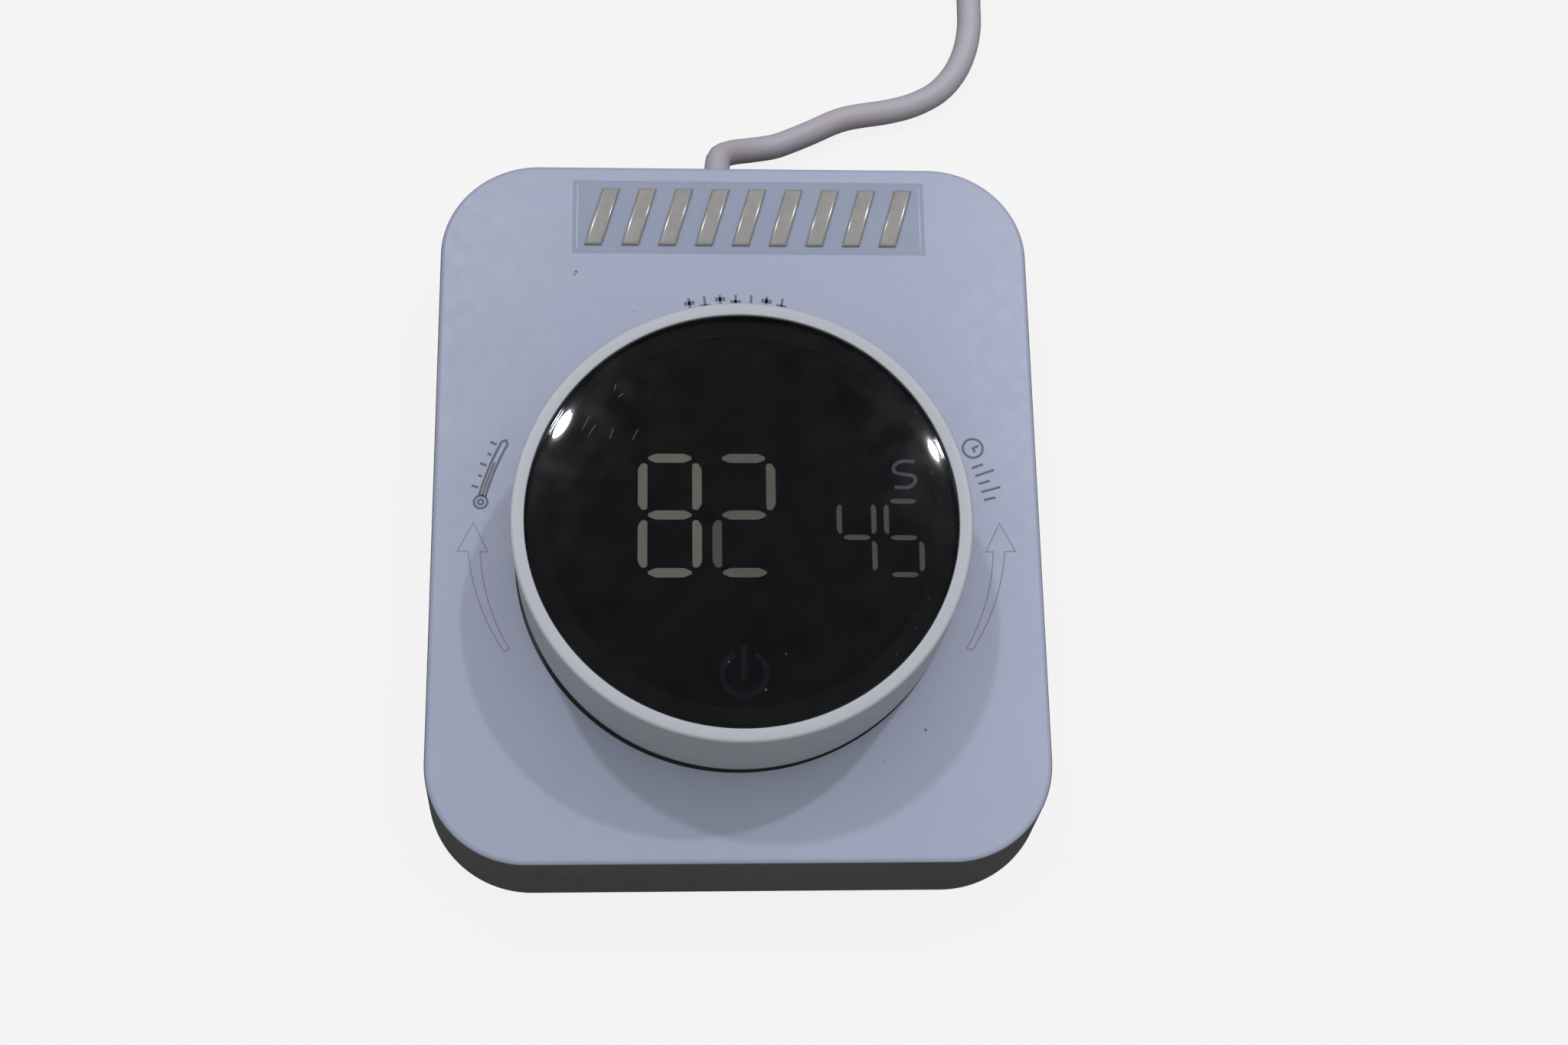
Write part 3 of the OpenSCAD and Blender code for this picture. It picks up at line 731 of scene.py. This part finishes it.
def make_grip():
    """A flexible nose with four collars, then a grip with twelve ribs."""
    rib_r = (GRIP_HIGH.x - GRIP_LOW.x) / 2
    grip_r = rib_r - 0.3 * MM
    profile = [(CORD_D / 2, 0), (3.1 * MM, 0)]
    for i in range(4):
        z = (0.4 + 2.1 * i) * MM
        r = (3.2 + 0.27 * i) * MM
        profile += [(r, z), (r + 0.1 * MM, z + 1.2 * MM), (r - 0.5 * MM, z + 1.5 * MM)]
        profile += [(r - 0.5 * MM, z + 1.9 * MM)]
    profile += [(4.4 * MM, 9 * MM)]
    profile += [(5.4 * MM, 10.4 * MM), (grip_r - 0.15 * MM, 11 * MM), (grip_r, 11.6 * MM)]
    profile += [(grip_r, GRIP_L - 0.7 * MM), (grip_r - 0.6 * MM, GRIP_L), (CORD_D / 2, GRIP_L)]
    grip = lathe("connector_boot", profile, MATERIALS["black_plastic"], ORIGIN, 96, loop=True)
    turned_along_y(grip, CONNECTOR_AT)
    for k in range(12):
        x, z = polar(rib_r - 0.5 * MM, 30 * k)
        at = CONNECTOR_AT + Vector((x, -(GRIP_L + 11 * MM) / 2, z))
        rings = [
            [at + Vector((u, y * MM, v)) for u, v in circle(radius * MM, 10)]
            for y, radius in ((4.6, 0.05), (4.2, 0.42), (0, 0.48), (-4.2, 0.42), (-4.6, 0.05))
        ]
        rib = skin("rib", rings, MATERIALS["black_plastic"], 40)
        grip = join([grip, rib], "connector_boot")
    return settle(grip, "base", "black_plastic", "connector_grip")


def make_shell():
    """The metal barrel, with a groove near its root."""
    shell = lathe("connector_barrel", [
        (CORD_D / 2, 0), (SHELL_R, 0), (SHELL_R, 1.2 * MM), (SHELL_R - 0.35 * MM, 1.5 * MM),
        (SHELL_R - 0.35 * MM, 2.1 * MM), (SHELL_R, 2.4 * MM), (SHELL_R, SHELL_L - 0.3 * MM),
        (SHELL_R - 0.3 * MM, SHELL_L), (SHELL_R - SHELL_WALL, SHELL_L),
        (SHELL_R - SHELL_WALL, SHELL_FLOOR), (CORD_D / 2, SHELL_FLOOR),
    ], MATERIALS["connector_metal"], ORIGIN, 96, loop=True)
    turned_along_y(shell, SHELL_AT)
    return settle(shell, "base", "connector_metal", "connector_shell")


def make_insert():
    """The plastic disc in the barrel that holds the pins."""
    radius, face = SHELL_R - SHELL_WALL - 0.02 * MM, 4.9 * MM
    insert = lathe("connector_insert", [
        (0, SHELL_FLOOR), (radius, SHELL_FLOOR), (radius, face - 0.3 * MM),
        (radius - 0.28 * MM, face), (0, face),
    ], MATERIALS["black_plastic"], ORIGIN, 64)
    turned_along_y(insert, SHELL_AT)
    return settle(insert, "base", "black_plastic")


def make_pins():
    """Four gold pins with rounded ends."""
    radius, straight, tip = 0.5 * MM, 8.4 * MM, 8.8 * MM
    pins = []
    for k in range(4):
        spot = Vector((*polar(2.2 * MM, 45 + 90 * k), 0))
        pins.append(lathe("pin", [
            (0, SHELL_FLOOR), (radius, SHELL_FLOOR), (radius, straight),
            *arc_points(0.1 * MM, straight, 0.4 * MM, 0, 80, 5), (0, tip),
        ], MATERIALS["contact_gold"], spot, 24))
    pins = join(pins, "connector_contacts")
    turned_along_y(pins, SHELL_AT)
    return settle(pins, "base", "contact_gold", "connector_pins")


strap = make_tie()
connector = [make_grip(), make_shell(), make_insert(), make_pins()]
relief_nose = rear_middle(RELIEF_LOW, RELIEF_HIGH)


def make_relief():
    """Rear grommet: a flange in the wall and a short nose round the cord."""
    back = RELIEF_HIGH.y - RELIEF_LOW.y
    bore = CORD_D / 2 + 0.02 * MM
    profile = [
        (bore, 0), (3.05 * MM, 0), (3.3 * MM, 0.25 * MM), (3.45 * MM, 0.6 * MM),
        (3.35 * MM, 0.7 * MM), (3.5 * MM, 0.9 * MM), (4.4 * MM, 1.2 * MM),
        (4.6 * MM, 1.4 * MM), (4.6 * MM, 1.8 * MM), (4.15 * MM, 1.9 * MM),
        (4.15 * MM, back - 1.2 * MM), (5.6 * MM, back - 1.2 * MM), (5.6 * MM, back), (bore, back),
    ]
    piece = lathe("cord_grommet", profile, MATERIALS["cord_pvc"], ORIGIN, 96, loop=True)
    turned_along_y(piece, relief_nose)
    return settle(piece, "base", "cord_pvc", "strain_relief")


relief = make_relief()

# ---------------------------------------------------------------- case

CORNER_STEPS = 24


def wall_r(z):
    return CORNER_R + FLARE * (PLATE_Z - z) / (PLATE_Z - FOOT_H)


def case_ring(inset, z):
    """The case's outline at a height, inset from its outside."""
    radius = wall_r(z) - inset
    x, y = CASE_W / 2 - CORNER_R, CASE_D / 2 - CORNER_R
    ring = []
    for quarter, (sx, sy) in enumerate(((1, 1), (-1, 1), (-1, -1), (1, -1))):
        for i in range(CORNER_STEPS + 1):
            a = 90 * quarter + 90 * i / CORNER_STEPS
            ring.append(Vector((*polar(radius, a, sx * x, sy * y), z)))
    return ring


def guide_ring(radius, z):
    """A circle round the knob's axis whose points face those of the case's outline."""
    found = []
    for p in case_ring(0, z):
        way = (p - Vector((KNOB.x, KNOB.y, z))).normalized()
        found.append(Vector((KNOB.x, KNOB.y, z)) + way * radius)
    return found


def edge_ring(angle, draw_in=0.0):
    """The outline at an angle on the rounded top edge: 90 is its top and 0 its outside."""
    a = math.radians(angle)
    return case_ring(
        EDGE_R * (1 - math.cos(a)) + draw_in, PLATE_Z - EDGE_R * (1 - math.sin(a))
    )


def make_top_casing():
    under = PLATE_Z - PLATE_T
    rings = [guide_ring(GUIDE_R, under), guide_ring(GUIDE_R, PLATE_Z)]
    rings += [edge_ring(a) for a in range(90, PART_ANGLE, -6)]
    rings += [
        edge_ring(PART_ANGLE + 2), edge_ring(PART_ANGLE, 0.08 * MM),
        case_ring(WALL + 0.1 * MM, SPLIT_Z), case_ring(WALL + 0.1 * MM, SPLIT_Z - LIP),
        case_ring(WALL + 1.3 * MM, SPLIT_Z - LIP), case_ring(WALL + 1.3 * MM, under),
    ]
    piece = skin("top_cover", rings, MATERIALS["case_pale"], loop=True)
    return settle(piece, "base", "case_pale", "top_casing")


def make_lower_casing():
    low, foot_edge = FOOT_H, 0.3 * MM
    rings = [case_ring(12 * MM, low)]
    for i in range(5):
        a = math.radians(-90 + 90 * i / 4)
        rings.append(case_ring(
            foot_edge * (1 - math.cos(a)), low + foot_edge * (1 + math.sin(a))
        ))
    rings += [edge_ring(a) for a in range(0, PART_ANGLE, 6)]
    rings += [
        edge_ring(PART_ANGLE - 3), edge_ring(PART_ANGLE, 0.08 * MM), case_ring(WALL, SPLIT_Z),
        case_ring(WALL, low + 2.5 * MM), case_ring(WALL + 0.5 * MM, low + 2 * MM),
        case_ring(12 * MM, low + 2 * MM),
    ]
    piece = skin("lower_shell", rings, MATERIALS["case_dark"])
    screw_r, well_r = 2.7 * MM, 3 * MM
    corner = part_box("case_screws")[1]
    for x in (screw_r - corner.x, corner.x - screw_r):
        for y in (screw_r - corner.y, corner.y - screw_r):
            well = lathe("well", [
                (0, low - 1 * MM), (3.5 * MM, low - 0.1 * MM), (well_r, low + 0.4 * MM),
                (well_r, low + 4.2 * MM), (0, low + 4.2 * MM),
            ], MATERIALS["case_dark"], Vector((x, y, 0)), 48)
            cut(piece, well)
    piece.data.shade_smooth()
    piece.data.set_sharp_from_angle(angle=math.radians(30))
    return settle(piece, "base", "case_dark", "lower_casing")


def make_feet():
    """Round rubber feet with a softened rim and a shallow dish."""
    low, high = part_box("rubber_feet")
    radius = 6 * MM
    feet = []
    for x in (low.x + radius, high.x - radius):
        for y in (low.y + radius, high.y - radius):
            feet.append(lathe("foot", [
                (0, 0.12 * MM), (3.6 * MM, 0.12 * MM), (4 * MM, 0), (5.2 * MM, 0),
                *arc_points(5.2 * MM, 0.5 * MM, 0.5 * MM, -80, 0, 5),
                (5.85 * MM, high.z), (0, high.z),
            ], MATERIALS["rubber_black"], Vector((x, y, 0)), 64))
    return settle(join(feet, "feet"), "base", "rubber_black", "rubber_feet")


make_top_casing()
make_lower_casing()
make_feet()

# ---------------------------------------------------------------- knob


def dome_z(radius):
    """Nearly flat, bending at the rim and more at the very edge, with a fine bead there."""
    share = radius / LENS_R
    bead = max(0.0, 1 - abs(radius - BEAD_R) / BEAD_HALF)
    drop = DOME_RISE * share ** DOME_POWER + RIM_DROP * share ** RIM_POWER
    return LENS_HIGH.z - drop + BEAD_H * smoothstep(bead)


def make_lens():
    bottom, chamfer, rim = LENS_LOW.z, 0.3 * MM, 0.12 * MM
    profile = [(0, bottom), (LENS_R - chamfer, bottom), (LENS_R, bottom + chamfer)]
    profile += [(LENS_R, dome_z(LENS_R) - rim), (LENS_R - rim * 0.3, dome_z(LENS_R) - rim * 0.3)]
    # Close rings near the rim, where the bead is, and wider apart towards the middle
    inner, outer, steps = 33.6 * MM, LENS_R - rim, 36
    radii = [outer - (outer - inner) * i / steps for i in range(steps)]
    radii += [inner * (1 - i / steps) for i in range(steps)]
    profile += [(r, dome_z(r)) for r in radii]
    profile += [(0, LENS_HIGH.z)]
    piece = lathe("lens_cover", profile, MATERIALS["lens_glass"], count=256)
    return settle(piece, "head", "lens_glass", "lens")


def make_lens_border():
    """The black border printed under the lens, which hides the edge of the display."""
    low, high = LENS_LOW.z - 0.08 * MM, LENS_LOW.z + 0.02 * MM
    inner, outer = 31.8 * MM, LENS_R - 0.35 * MM
    piece = lathe("lens_border", [
        (inner, low), (outer, low), (outer, high), (inner, high),
    ], MATERIALS["display_film"], loop=True)
    return settle(piece, "head", "display_film")


def make_dial():
    """The ring that turns: a straight side, a flat top and a crisp inner edge."""
    bore, lip, edge = 36.9 * MM, LENS_R + 0.15 * MM, 0.6 * MM
    low, high = DIAL_LOW.z, DIAL_HIGH.z
    profile = [(bore, low)]
    profile += arc_points(DIAL_R - 0.55 * MM, low + 0.3 * MM, 0.3 * MM, -90, -5, 4)
    profile += [(DIAL_R - 0.08 * MM, low + 1.6 * MM), (DIAL_R, low + 3 * MM)]
    profile += arc_points(DIAL_R - edge, high - edge, edge, 0, 90, 8)
    profile += arc_points(lip + 0.2 * MM, high - 0.2 * MM, 0.2 * MM, 90, 180, 4)
    profile += [(lip, high - 1.6 * MM), (bore, high - 1.6 * MM)]
    piece = lathe("dial_rim", profile, MATERIALS["dial_white"], count=256, loop=True, angle=40)
    return settle(piece, "dial", "dial_white", "dial_ring")


def make_gap_shade():
    """Painted shade: a thin black sheet on the case's top round the knob, standing for the dark gap
    under the ring, where it shows as a thin line.
    """
    low, high = PLATE_Z + 0.01 * MM, PLATE_Z + 0.06 * MM
    inner, outer = 20 * MM, 37.9 * MM
    # The painted shade sits 0.3 mm to the left of the knob's axis.
    middle = KNOB - Vector((0.3 * MM, 0, 0))
    piece = lathe("painted_gap_shade", [
        (inner, low), (outer, low), (outer, high - 0.02 * MM), (outer - 0.03 * MM, high),
        (inner, high),
    ], MATERIALS["black_plastic"], middle, loop=True)
    return settle(piece, "base", "black_plastic")


make_lens()
make_lens_border()
make_dial()
make_gap_shade()
soften("return_spring")
soften("display_ribbon")

# ---------------------------------------------------------------- display

# Width, height, bar thickness and the gap that bars leave at a corner
BIG, SMALL = (10.4, 21.2, 1.55, 1.8), (6.5, 13.4, 0.85, 1.35)
# Digit: middle about the knob's axis, size, lit bars by letter
DIGITS = [
    ((-11.85, 0.35), BIG, "abcdefg"),
    ((0.25, 0.35), BIG, "abdeg"),
    ((18.6, -3.45), SMALL, "bcfg"),
    ((26.3, -3.45), SMALL, "acdfg"),
]
FAINTER = {(1, letter) for letter in "abdg"}
FAINTEST = {(1, "e")}
UNIT_AT, UNIT_SIZE = (26.7, 7.5), (3.9, 5)
POWER_AT = (0, -26.2)
# How far prints and scratches stand up
BAR_T, SCRATCH_T = 0.05 * MM, 0.03 * MM


def bar_places(width, height, thick, gap):
    """Each bar of a digit: its middle, which side it stands on (0 if it lies), and its length."""
    across, up = width - thick - gap, (height - thick) / 2 - gap
    x, y = (width - thick) / 2, (height - thick) / 2
    return {
        "a": (0, y, 0, across), "g": (0, 0, 0, across), "d": (0, -y, 0, across),
        "f": (-x, y / 2, -1, up), "b": (x, y / 2, 1, up),
        "e": (-x, -y / 2, -1, up), "c": (x, -y / 2, 1, up),
    }


def prism(name, outline, z, height, material):
    """A flat piece from a 2-D outline in millimetres about the knob's axis."""
    base = [Vector((KNOB.x + x * MM, KNOB.y + y * MM, z)) for x, y in outline]
    return skin(name, [base, [p + Vector((0, 0, height)) for p in base]], material)


def bar_outline(x, y, side, length, thick):
    """A bar that lies has blunt points; one that stands is cut away at its outer corners."""
    half, t = length / 2, thick / 2
    if side == 0:
        taper, tip = thick * 0.78, t * 0.3
        shape = [
            (-half, -tip), (-half + taper, -t), (half - taper, -t), (half, -tip),
            (half, tip), (half - taper, t), (-half + taper, t), (-half, tip),
        ]
        return [(x + u, y + v) for u, v in shape]
    shape = [
        (-t, -half + 0.2 * thick), (-0.6 * t, -half), (0.2 * t, -half), (t, -half + 0.65 * thick),
        (t, half - 0.65 * thick), (0.2 * t, half), (-0.6 * t, half), (-t, half - 0.2 * thick),
    ]
    return [(x + side * u, y + v) for u, v in shape]


def make_digits():
    groups = {"lit_bars": [], "fainter_bars": [], "small_bars": []}
    for index, ((cx, cy), size, lit) in enumerate(DIGITS):
        for letter, (x, y, side, length) in bar_places(*size).items():
            if letter not in lit:
                continue
            group, paint = "lit_bars", LIT
            if size is SMALL or (index, letter) in FAINTEST:
                group, paint = "small_bars", SMALL_LIT
            elif (index, letter) in FAINTER:
                group, paint = "fainter_bars", FAINTER_LIT
            outline = bar_outline(cx + x, cy + y, side, length, size[2])
            groups[group].append(prism("bar", outline, FILM_TOP, BAR_T, paint))
    for name, bars in groups.items():
        settle(join(bars, name), "head", "display_film")


def stroke(name, points, width, z, height, material, closed=False):
    """A thin raised line of even width through 2-D points in millimetres."""
    line = [Vector(p) for p in points]
    left, right = [], []
    count = len(line)
    for i, p in enumerate(line):
        before = line[(i - 1) % count] if closed or i else p
        after = line[(i + 1) % count] if closed or i < count - 1 else p
        a, b = p - before, after - p
        a = a.normalized() if a.length else b.normalized()
        b = b.normalized() if b.length else a
        tangent = (a + b).normalized()
        square = Vector((-tangent.y, tangent.x))
        reach = width / 2 / max(0.5, square.dot(Vector((-a.y, a.x))))
        left.append(p + square * reach)
        right.append(p - square * reach)

    def lift(side, at):
        return [Vector((KNOB.x + q.x * MM, KNOB.y + q.y * MM, at)) for q in side]

    edges = ((left, z), (right, z), (right, z + height), (left, z + height))
    sections = list(zip(*(lift(side, at) for side, at in edges)))
    return skin(name, sections, material, loop=closed)


def make_unit_sign():
    """The small unit sign above the last digit: one smooth bent line."""
    x, y = UNIT_AT
    w, h = (size / 2 - 0.25 for size in UNIT_SIZE)
    bends = [(w, h), (-w * 0.3, h), (-w, h * 0.6), (-w * 0.9, h * 0.15), (0, 0)]
    half = fine_line([Vector((u, v, 0)) for u, v in bends], 0.25)
    line = half + [-p for p in reversed(half[:-1])]
    line = [(x + p.x, y + p.y) for p in line]
    settle(stroke("unit_sign", line, 0.58, FILM_TOP, BAR_T, UNIT_LIT), "head", "display_film")


def make_power_key():
    """A power sign: an open ring with a bar through the gap."""
    x, y = POWER_AT
    radius, gap = 3.55, 28
    ring = [polar(radius, a, x, y) for a in range(90 + gap, 450 - gap + 1, 4)]
    parts = [
        stroke("ring", ring, 0.9, FILM_TOP, BAR_T, KEY_PRINT),
        stroke("bar", [(x, y - 0.9), (x, y + 4.5)], 1.0, FILM_TOP, BAR_T, KEY_PRINT),
    ]
    settle(join(parts, "power_sign"), "head", "display_film")


def grain(x, y, size, z, height, material):
    """A speck of dust with six corners."""
    corners = [(x + size * math.cos(a), y + size * math.sin(a)) for a in range(6)]
    return prism("grain", corners, z, height, material)


def just_under_dome(x, y):
    """The height 0.01 mm below the lens's top at x, y millimetres from the knob's axis."""
    return dome_z(math.hypot(x, y) * MM) - 0.01 * MM


def make_scratches():
    """Hairline scratches and a few dust grains on the lens, about the knob's axis."""
    parts = []
    for x, y, long, lean in (
        (-26.2, 14.6, 2.4, 0.5), (-25.2, 13.4, 2.0, 0.6), (-21.7, 12.9, 1.8, 0.35),
        (-18.0, 12.6, 1.9, 0.5), (-21.0, 21.5, 1.2, 0.2), (-20.4, 20.2, 0.8, 1.2),
    ):
        ends = [(x, y), (x + long * lean * 0.5, y + long * 0.5), (x + long * lean, y + long)]
        parts.append(stroke("scratch", ends, 0.09, just_under_dome(x, y), SCRATCH_T, SCRATCH))
    grains = [(3.3, -29.4, 0.2), (-2.5, -24.9, 0.15), (6.6, -23.6, 0.14), (-17, -7, 0.1)]
    # Fine dust along the rim, from the right to the front
    for k in range(22):
        near = 34.2 - 2.6 * (0.618 * k % 1) ** 2
        grains.append((*polar(near, 38 - 3.1 * k - 20 * (k // 14)), 0.05 + 0.03 * (k % 3)))
    for x, y, size in grains:
        parts.append(grain(x, y, size, just_under_dome(x, y), SCRATCH_T, SCRATCH))
    settle(join(parts, "lens_scratches"), "head", "lens_glass")


make_digits()
make_unit_sign()
make_power_key()
make_scratches()

# ---------------------------------------------------------------- print on the case

INK_T = 0.03 * MM
INK_W = 0.42


def print_line(points, width=INK_W, material=None, closed=False):
    return stroke("line", points, width, PLATE_Z, INK_T, material or INK, closed)


def arc(radius, start, end, steps=14):
    return [polar(radius, start + (end - start) * i / steps) for i in range(steps + 1)]


def print_circle(radius, degrees, size):
    return print_line(circle(size, 28, *polar(radius, degrees)), closed=True)


def thermometer():
    """Lies along the arc on the left: a bulb, a long tube with a line in it, and tick marks."""
    parts = [print_circle(45.3, 167.6, 1.15), print_circle(45.3, 167.6, 0.45)]
    tube = arc(44.75, 166.2, 153) + [polar(45.3, 152.3)] + arc(45.85, 153, 166.2)
    parts.append(print_line(tube))
    parts.append(print_line(arc(45.3, 166.2, 158), 0.36))
    for i, degrees in enumerate((164.5, 161.9, 159.3, 156.7, 154.1)):
        parts.append(print_line([polar(46.4, degrees), polar(47.1 if i % 2 else 47.6, degrees)]))
    return parts


def clock():
    """A clock face on the right, with marks running on from it."""
    at = 25.6
    parts = [print_circle(45.85, at, 1.75)]
    hub, up, along = (Vector(p) for p in (polar(45.85, at), polar(1, at), polar(1, at - 90)))
    parts.append(print_line([hub + up * 1.15, hub, hub + along * 0.8]))
    for i, degrees in enumerate((21.4, 19.4, 17.4, 15.4, 13.4)):
        parts.append(print_line([polar(44.1, degrees), polar((46.2, 47.6)[i % 2], degrees)]))
    return parts


def sliders():
    """A row of setting sliders behind the knob."""
    parts = []
    for i, handle in enumerate((47.9, 47.0, 48.1, 47.5, 46.9, 48.0, 47.3)):
        middle = 90 + 3.3 * (3 - i)
        parts.append(print_line([polar(44.9, middle), polar(48.9, middle)]))
        parts.append(print_line(arc(handle, middle - 1.1, middle + 1.1, 4), 0.75))
    return parts


def arrow(side):
    """A tapering curved arrow outline; side is 1 on the right and -1 on the left."""
    head, foot = 1.0, -23.0
    steps = 16

    def shaft(outer):
        line = []
        for i in range(steps + 1):
            t = i / steps
            radius = 46.15 - 2.5 * t - 0.5 * t * t if outer else 44.1 - 1.4 * t - 0.55 * t * t
            line.append((radius, head + (foot - head) * t))
        return line

    points = [(45.8, 7.5), (48.0, head), *shaft(True), *shaft(False)[::-1], (42.8, head)]
    turned = [polar(r, a if side > 0 else 180 - a) for r, a in points]
    return print_line(turned, 0.2, FAINT_INK, closed=True)


settle(join(thermometer() + clock() + sliders(), "printed_signs"), "base", "case_pale")
settle(join([arrow(1), arrow(-1)], "printed_arrows"), "base", "case_pale")


def make_plate_dust():
    """A few dark grains lying on the case, about the knob's axis."""
    spots = [(31.2, -30.7, 0.24), (-28.4, 53.2, 0.26), (-28.7, 52.6, 0.18), (24, -36, 0.1)]
    grains = [grain(*spot, PLATE_Z, 0.04 * MM, INK) for spot in spots]
    settle(join(grains, "plate_dust"), "base", "case_pale")


make_plate_dust()

# ---------------------------------------------------------------- label


def make_label():
    """Clear film, a little lifted and uneven at its edges."""
    nx, ny = 60, 14
    low, high = LABEL_LOW, LABEL_HIGH
    vertices, faces = [], []
    for j in range(ny + 1):
        for i in range(nx + 1):
            u, v = i / nx, j / ny
            rim = min(u, 1 - u) * (high.x - low.x), min(v, 1 - v) * (high.y - low.y)
            lift = 0.5 + 0.5 * math.sin(37 * u + 3 * v) * math.sin(5 * v + 11 * u)
            near = max(0.0, 1 - min(rim) / (1.2 * MM))
            z = low.z + (0.08 + 0.12 * near * lift) * MM
            vertices.append((low.x + u * (high.x - low.x), low.y + v * (high.y - low.y), z))
            if i and j:
                last = len(vertices) - 1
                faces.append((last - nx - 2, last - nx - 1, last, last - 1))
    mesh = bpy.data.meshes.new("label_film")
    mesh.from_pydata(vertices, [], faces)
    mesh.shade_smooth()
    mesh.materials.append(MATERIALS["clear_film"])
    piece = bpy.data.objects.new("label_film", mesh)
    bpy.context.collection.objects.link(piece)
    modifier = piece.modifiers.new("thickness", "SOLIDIFY")
    modifier.thickness = 0.04 * MM
    modifier.offset = -1
    return settle(piece, "base", "clear_film", "badge_film")


def make_label_bars():
    """Slanted bars, flat in the middle and rounded down along their edges."""
    count = 9
    pitch = (LABEL_HIGH.x - LABEL_LOW.x) / (count + 0.6)
    half_w, slant = pitch * 0.24, 1.6 * MM
    half_h = (BARS_HIGH.y - BARS_LOW.y) / 2
    low, rise, soft = BARS_LOW.z - 0.1 * MM, 0.38 * MM, 0.7 * MM
    turn = [math.radians(9 * i) for i in range(11)]
    edge = [(soft * (1 - math.cos(a)), rise * math.sin(a)) for a in turn]
    bars = []
    for i in range(count):
        cx = LABEL_MIDDLE.x + (i - (count - 1) / 2) * pitch
        rings = []
        for inset, z in [(0, 0), *((e, 0.02 * MM + h) for e, h in edge)]:
            reach = half_h - inset
            rings.append([
                Vector((
                    cx + sx * (half_w - inset) + sy * slant * reach / half_h,
                    LABEL_MIDDLE.y + sy * reach, low + z,
                ))
                for sx, sy in ((-1, -1), (1, -1), (1, 1), (-1, 1))
            ])
        bars.append(skin("bar", rings, MATERIALS["silver_foil"], 35))
    return settle(join(bars, "label_bars"), "base", "silver_foil", "badge_bars")


make_label()
make_label_bars()

# ---------------------------------------------------------------- floor


def make_floor():
    """A pale floor that is lit so evenly that shadows on it are faint. It throws less
    light up at the object than it shows to the camera, and it is clear from below."""
    p = Paint("floor", rough=0.9, Emission_Color=(1, 1, 1, 1))
    p.colour(p.blend(p.noise(0.4), (0.038, 0.038, 0.038), (0.042, 0.042, 0.042)))
    path = p.tree.nodes.new("ShaderNodeLightPath")
    glow = p.spread(path.outputs["Is Camera Ray"], 0, 1, FLOOR_GLOW_ON_OBJECT, FLOOR_GLOW)
    p.link(glow, p.shader.inputs["Emission Strength"])
    side = p.tree.nodes.new("ShaderNodeNewGeometry")
    clear = p.tree.nodes.new("ShaderNodeBsdfTransparent")
    either(p.tree, side.outputs["Backfacing"], p.shader, clear, "Material Output")
    half, low = 3.0, -0.02 * MM
    corners = [(-half, -half, low), (half, -half, low), (half, half, low), (-half, half, low)]
    floor = add("floor", [Vector(c) for c in corners], [(0, 1, 2, 3)], p.material)


make_floor()
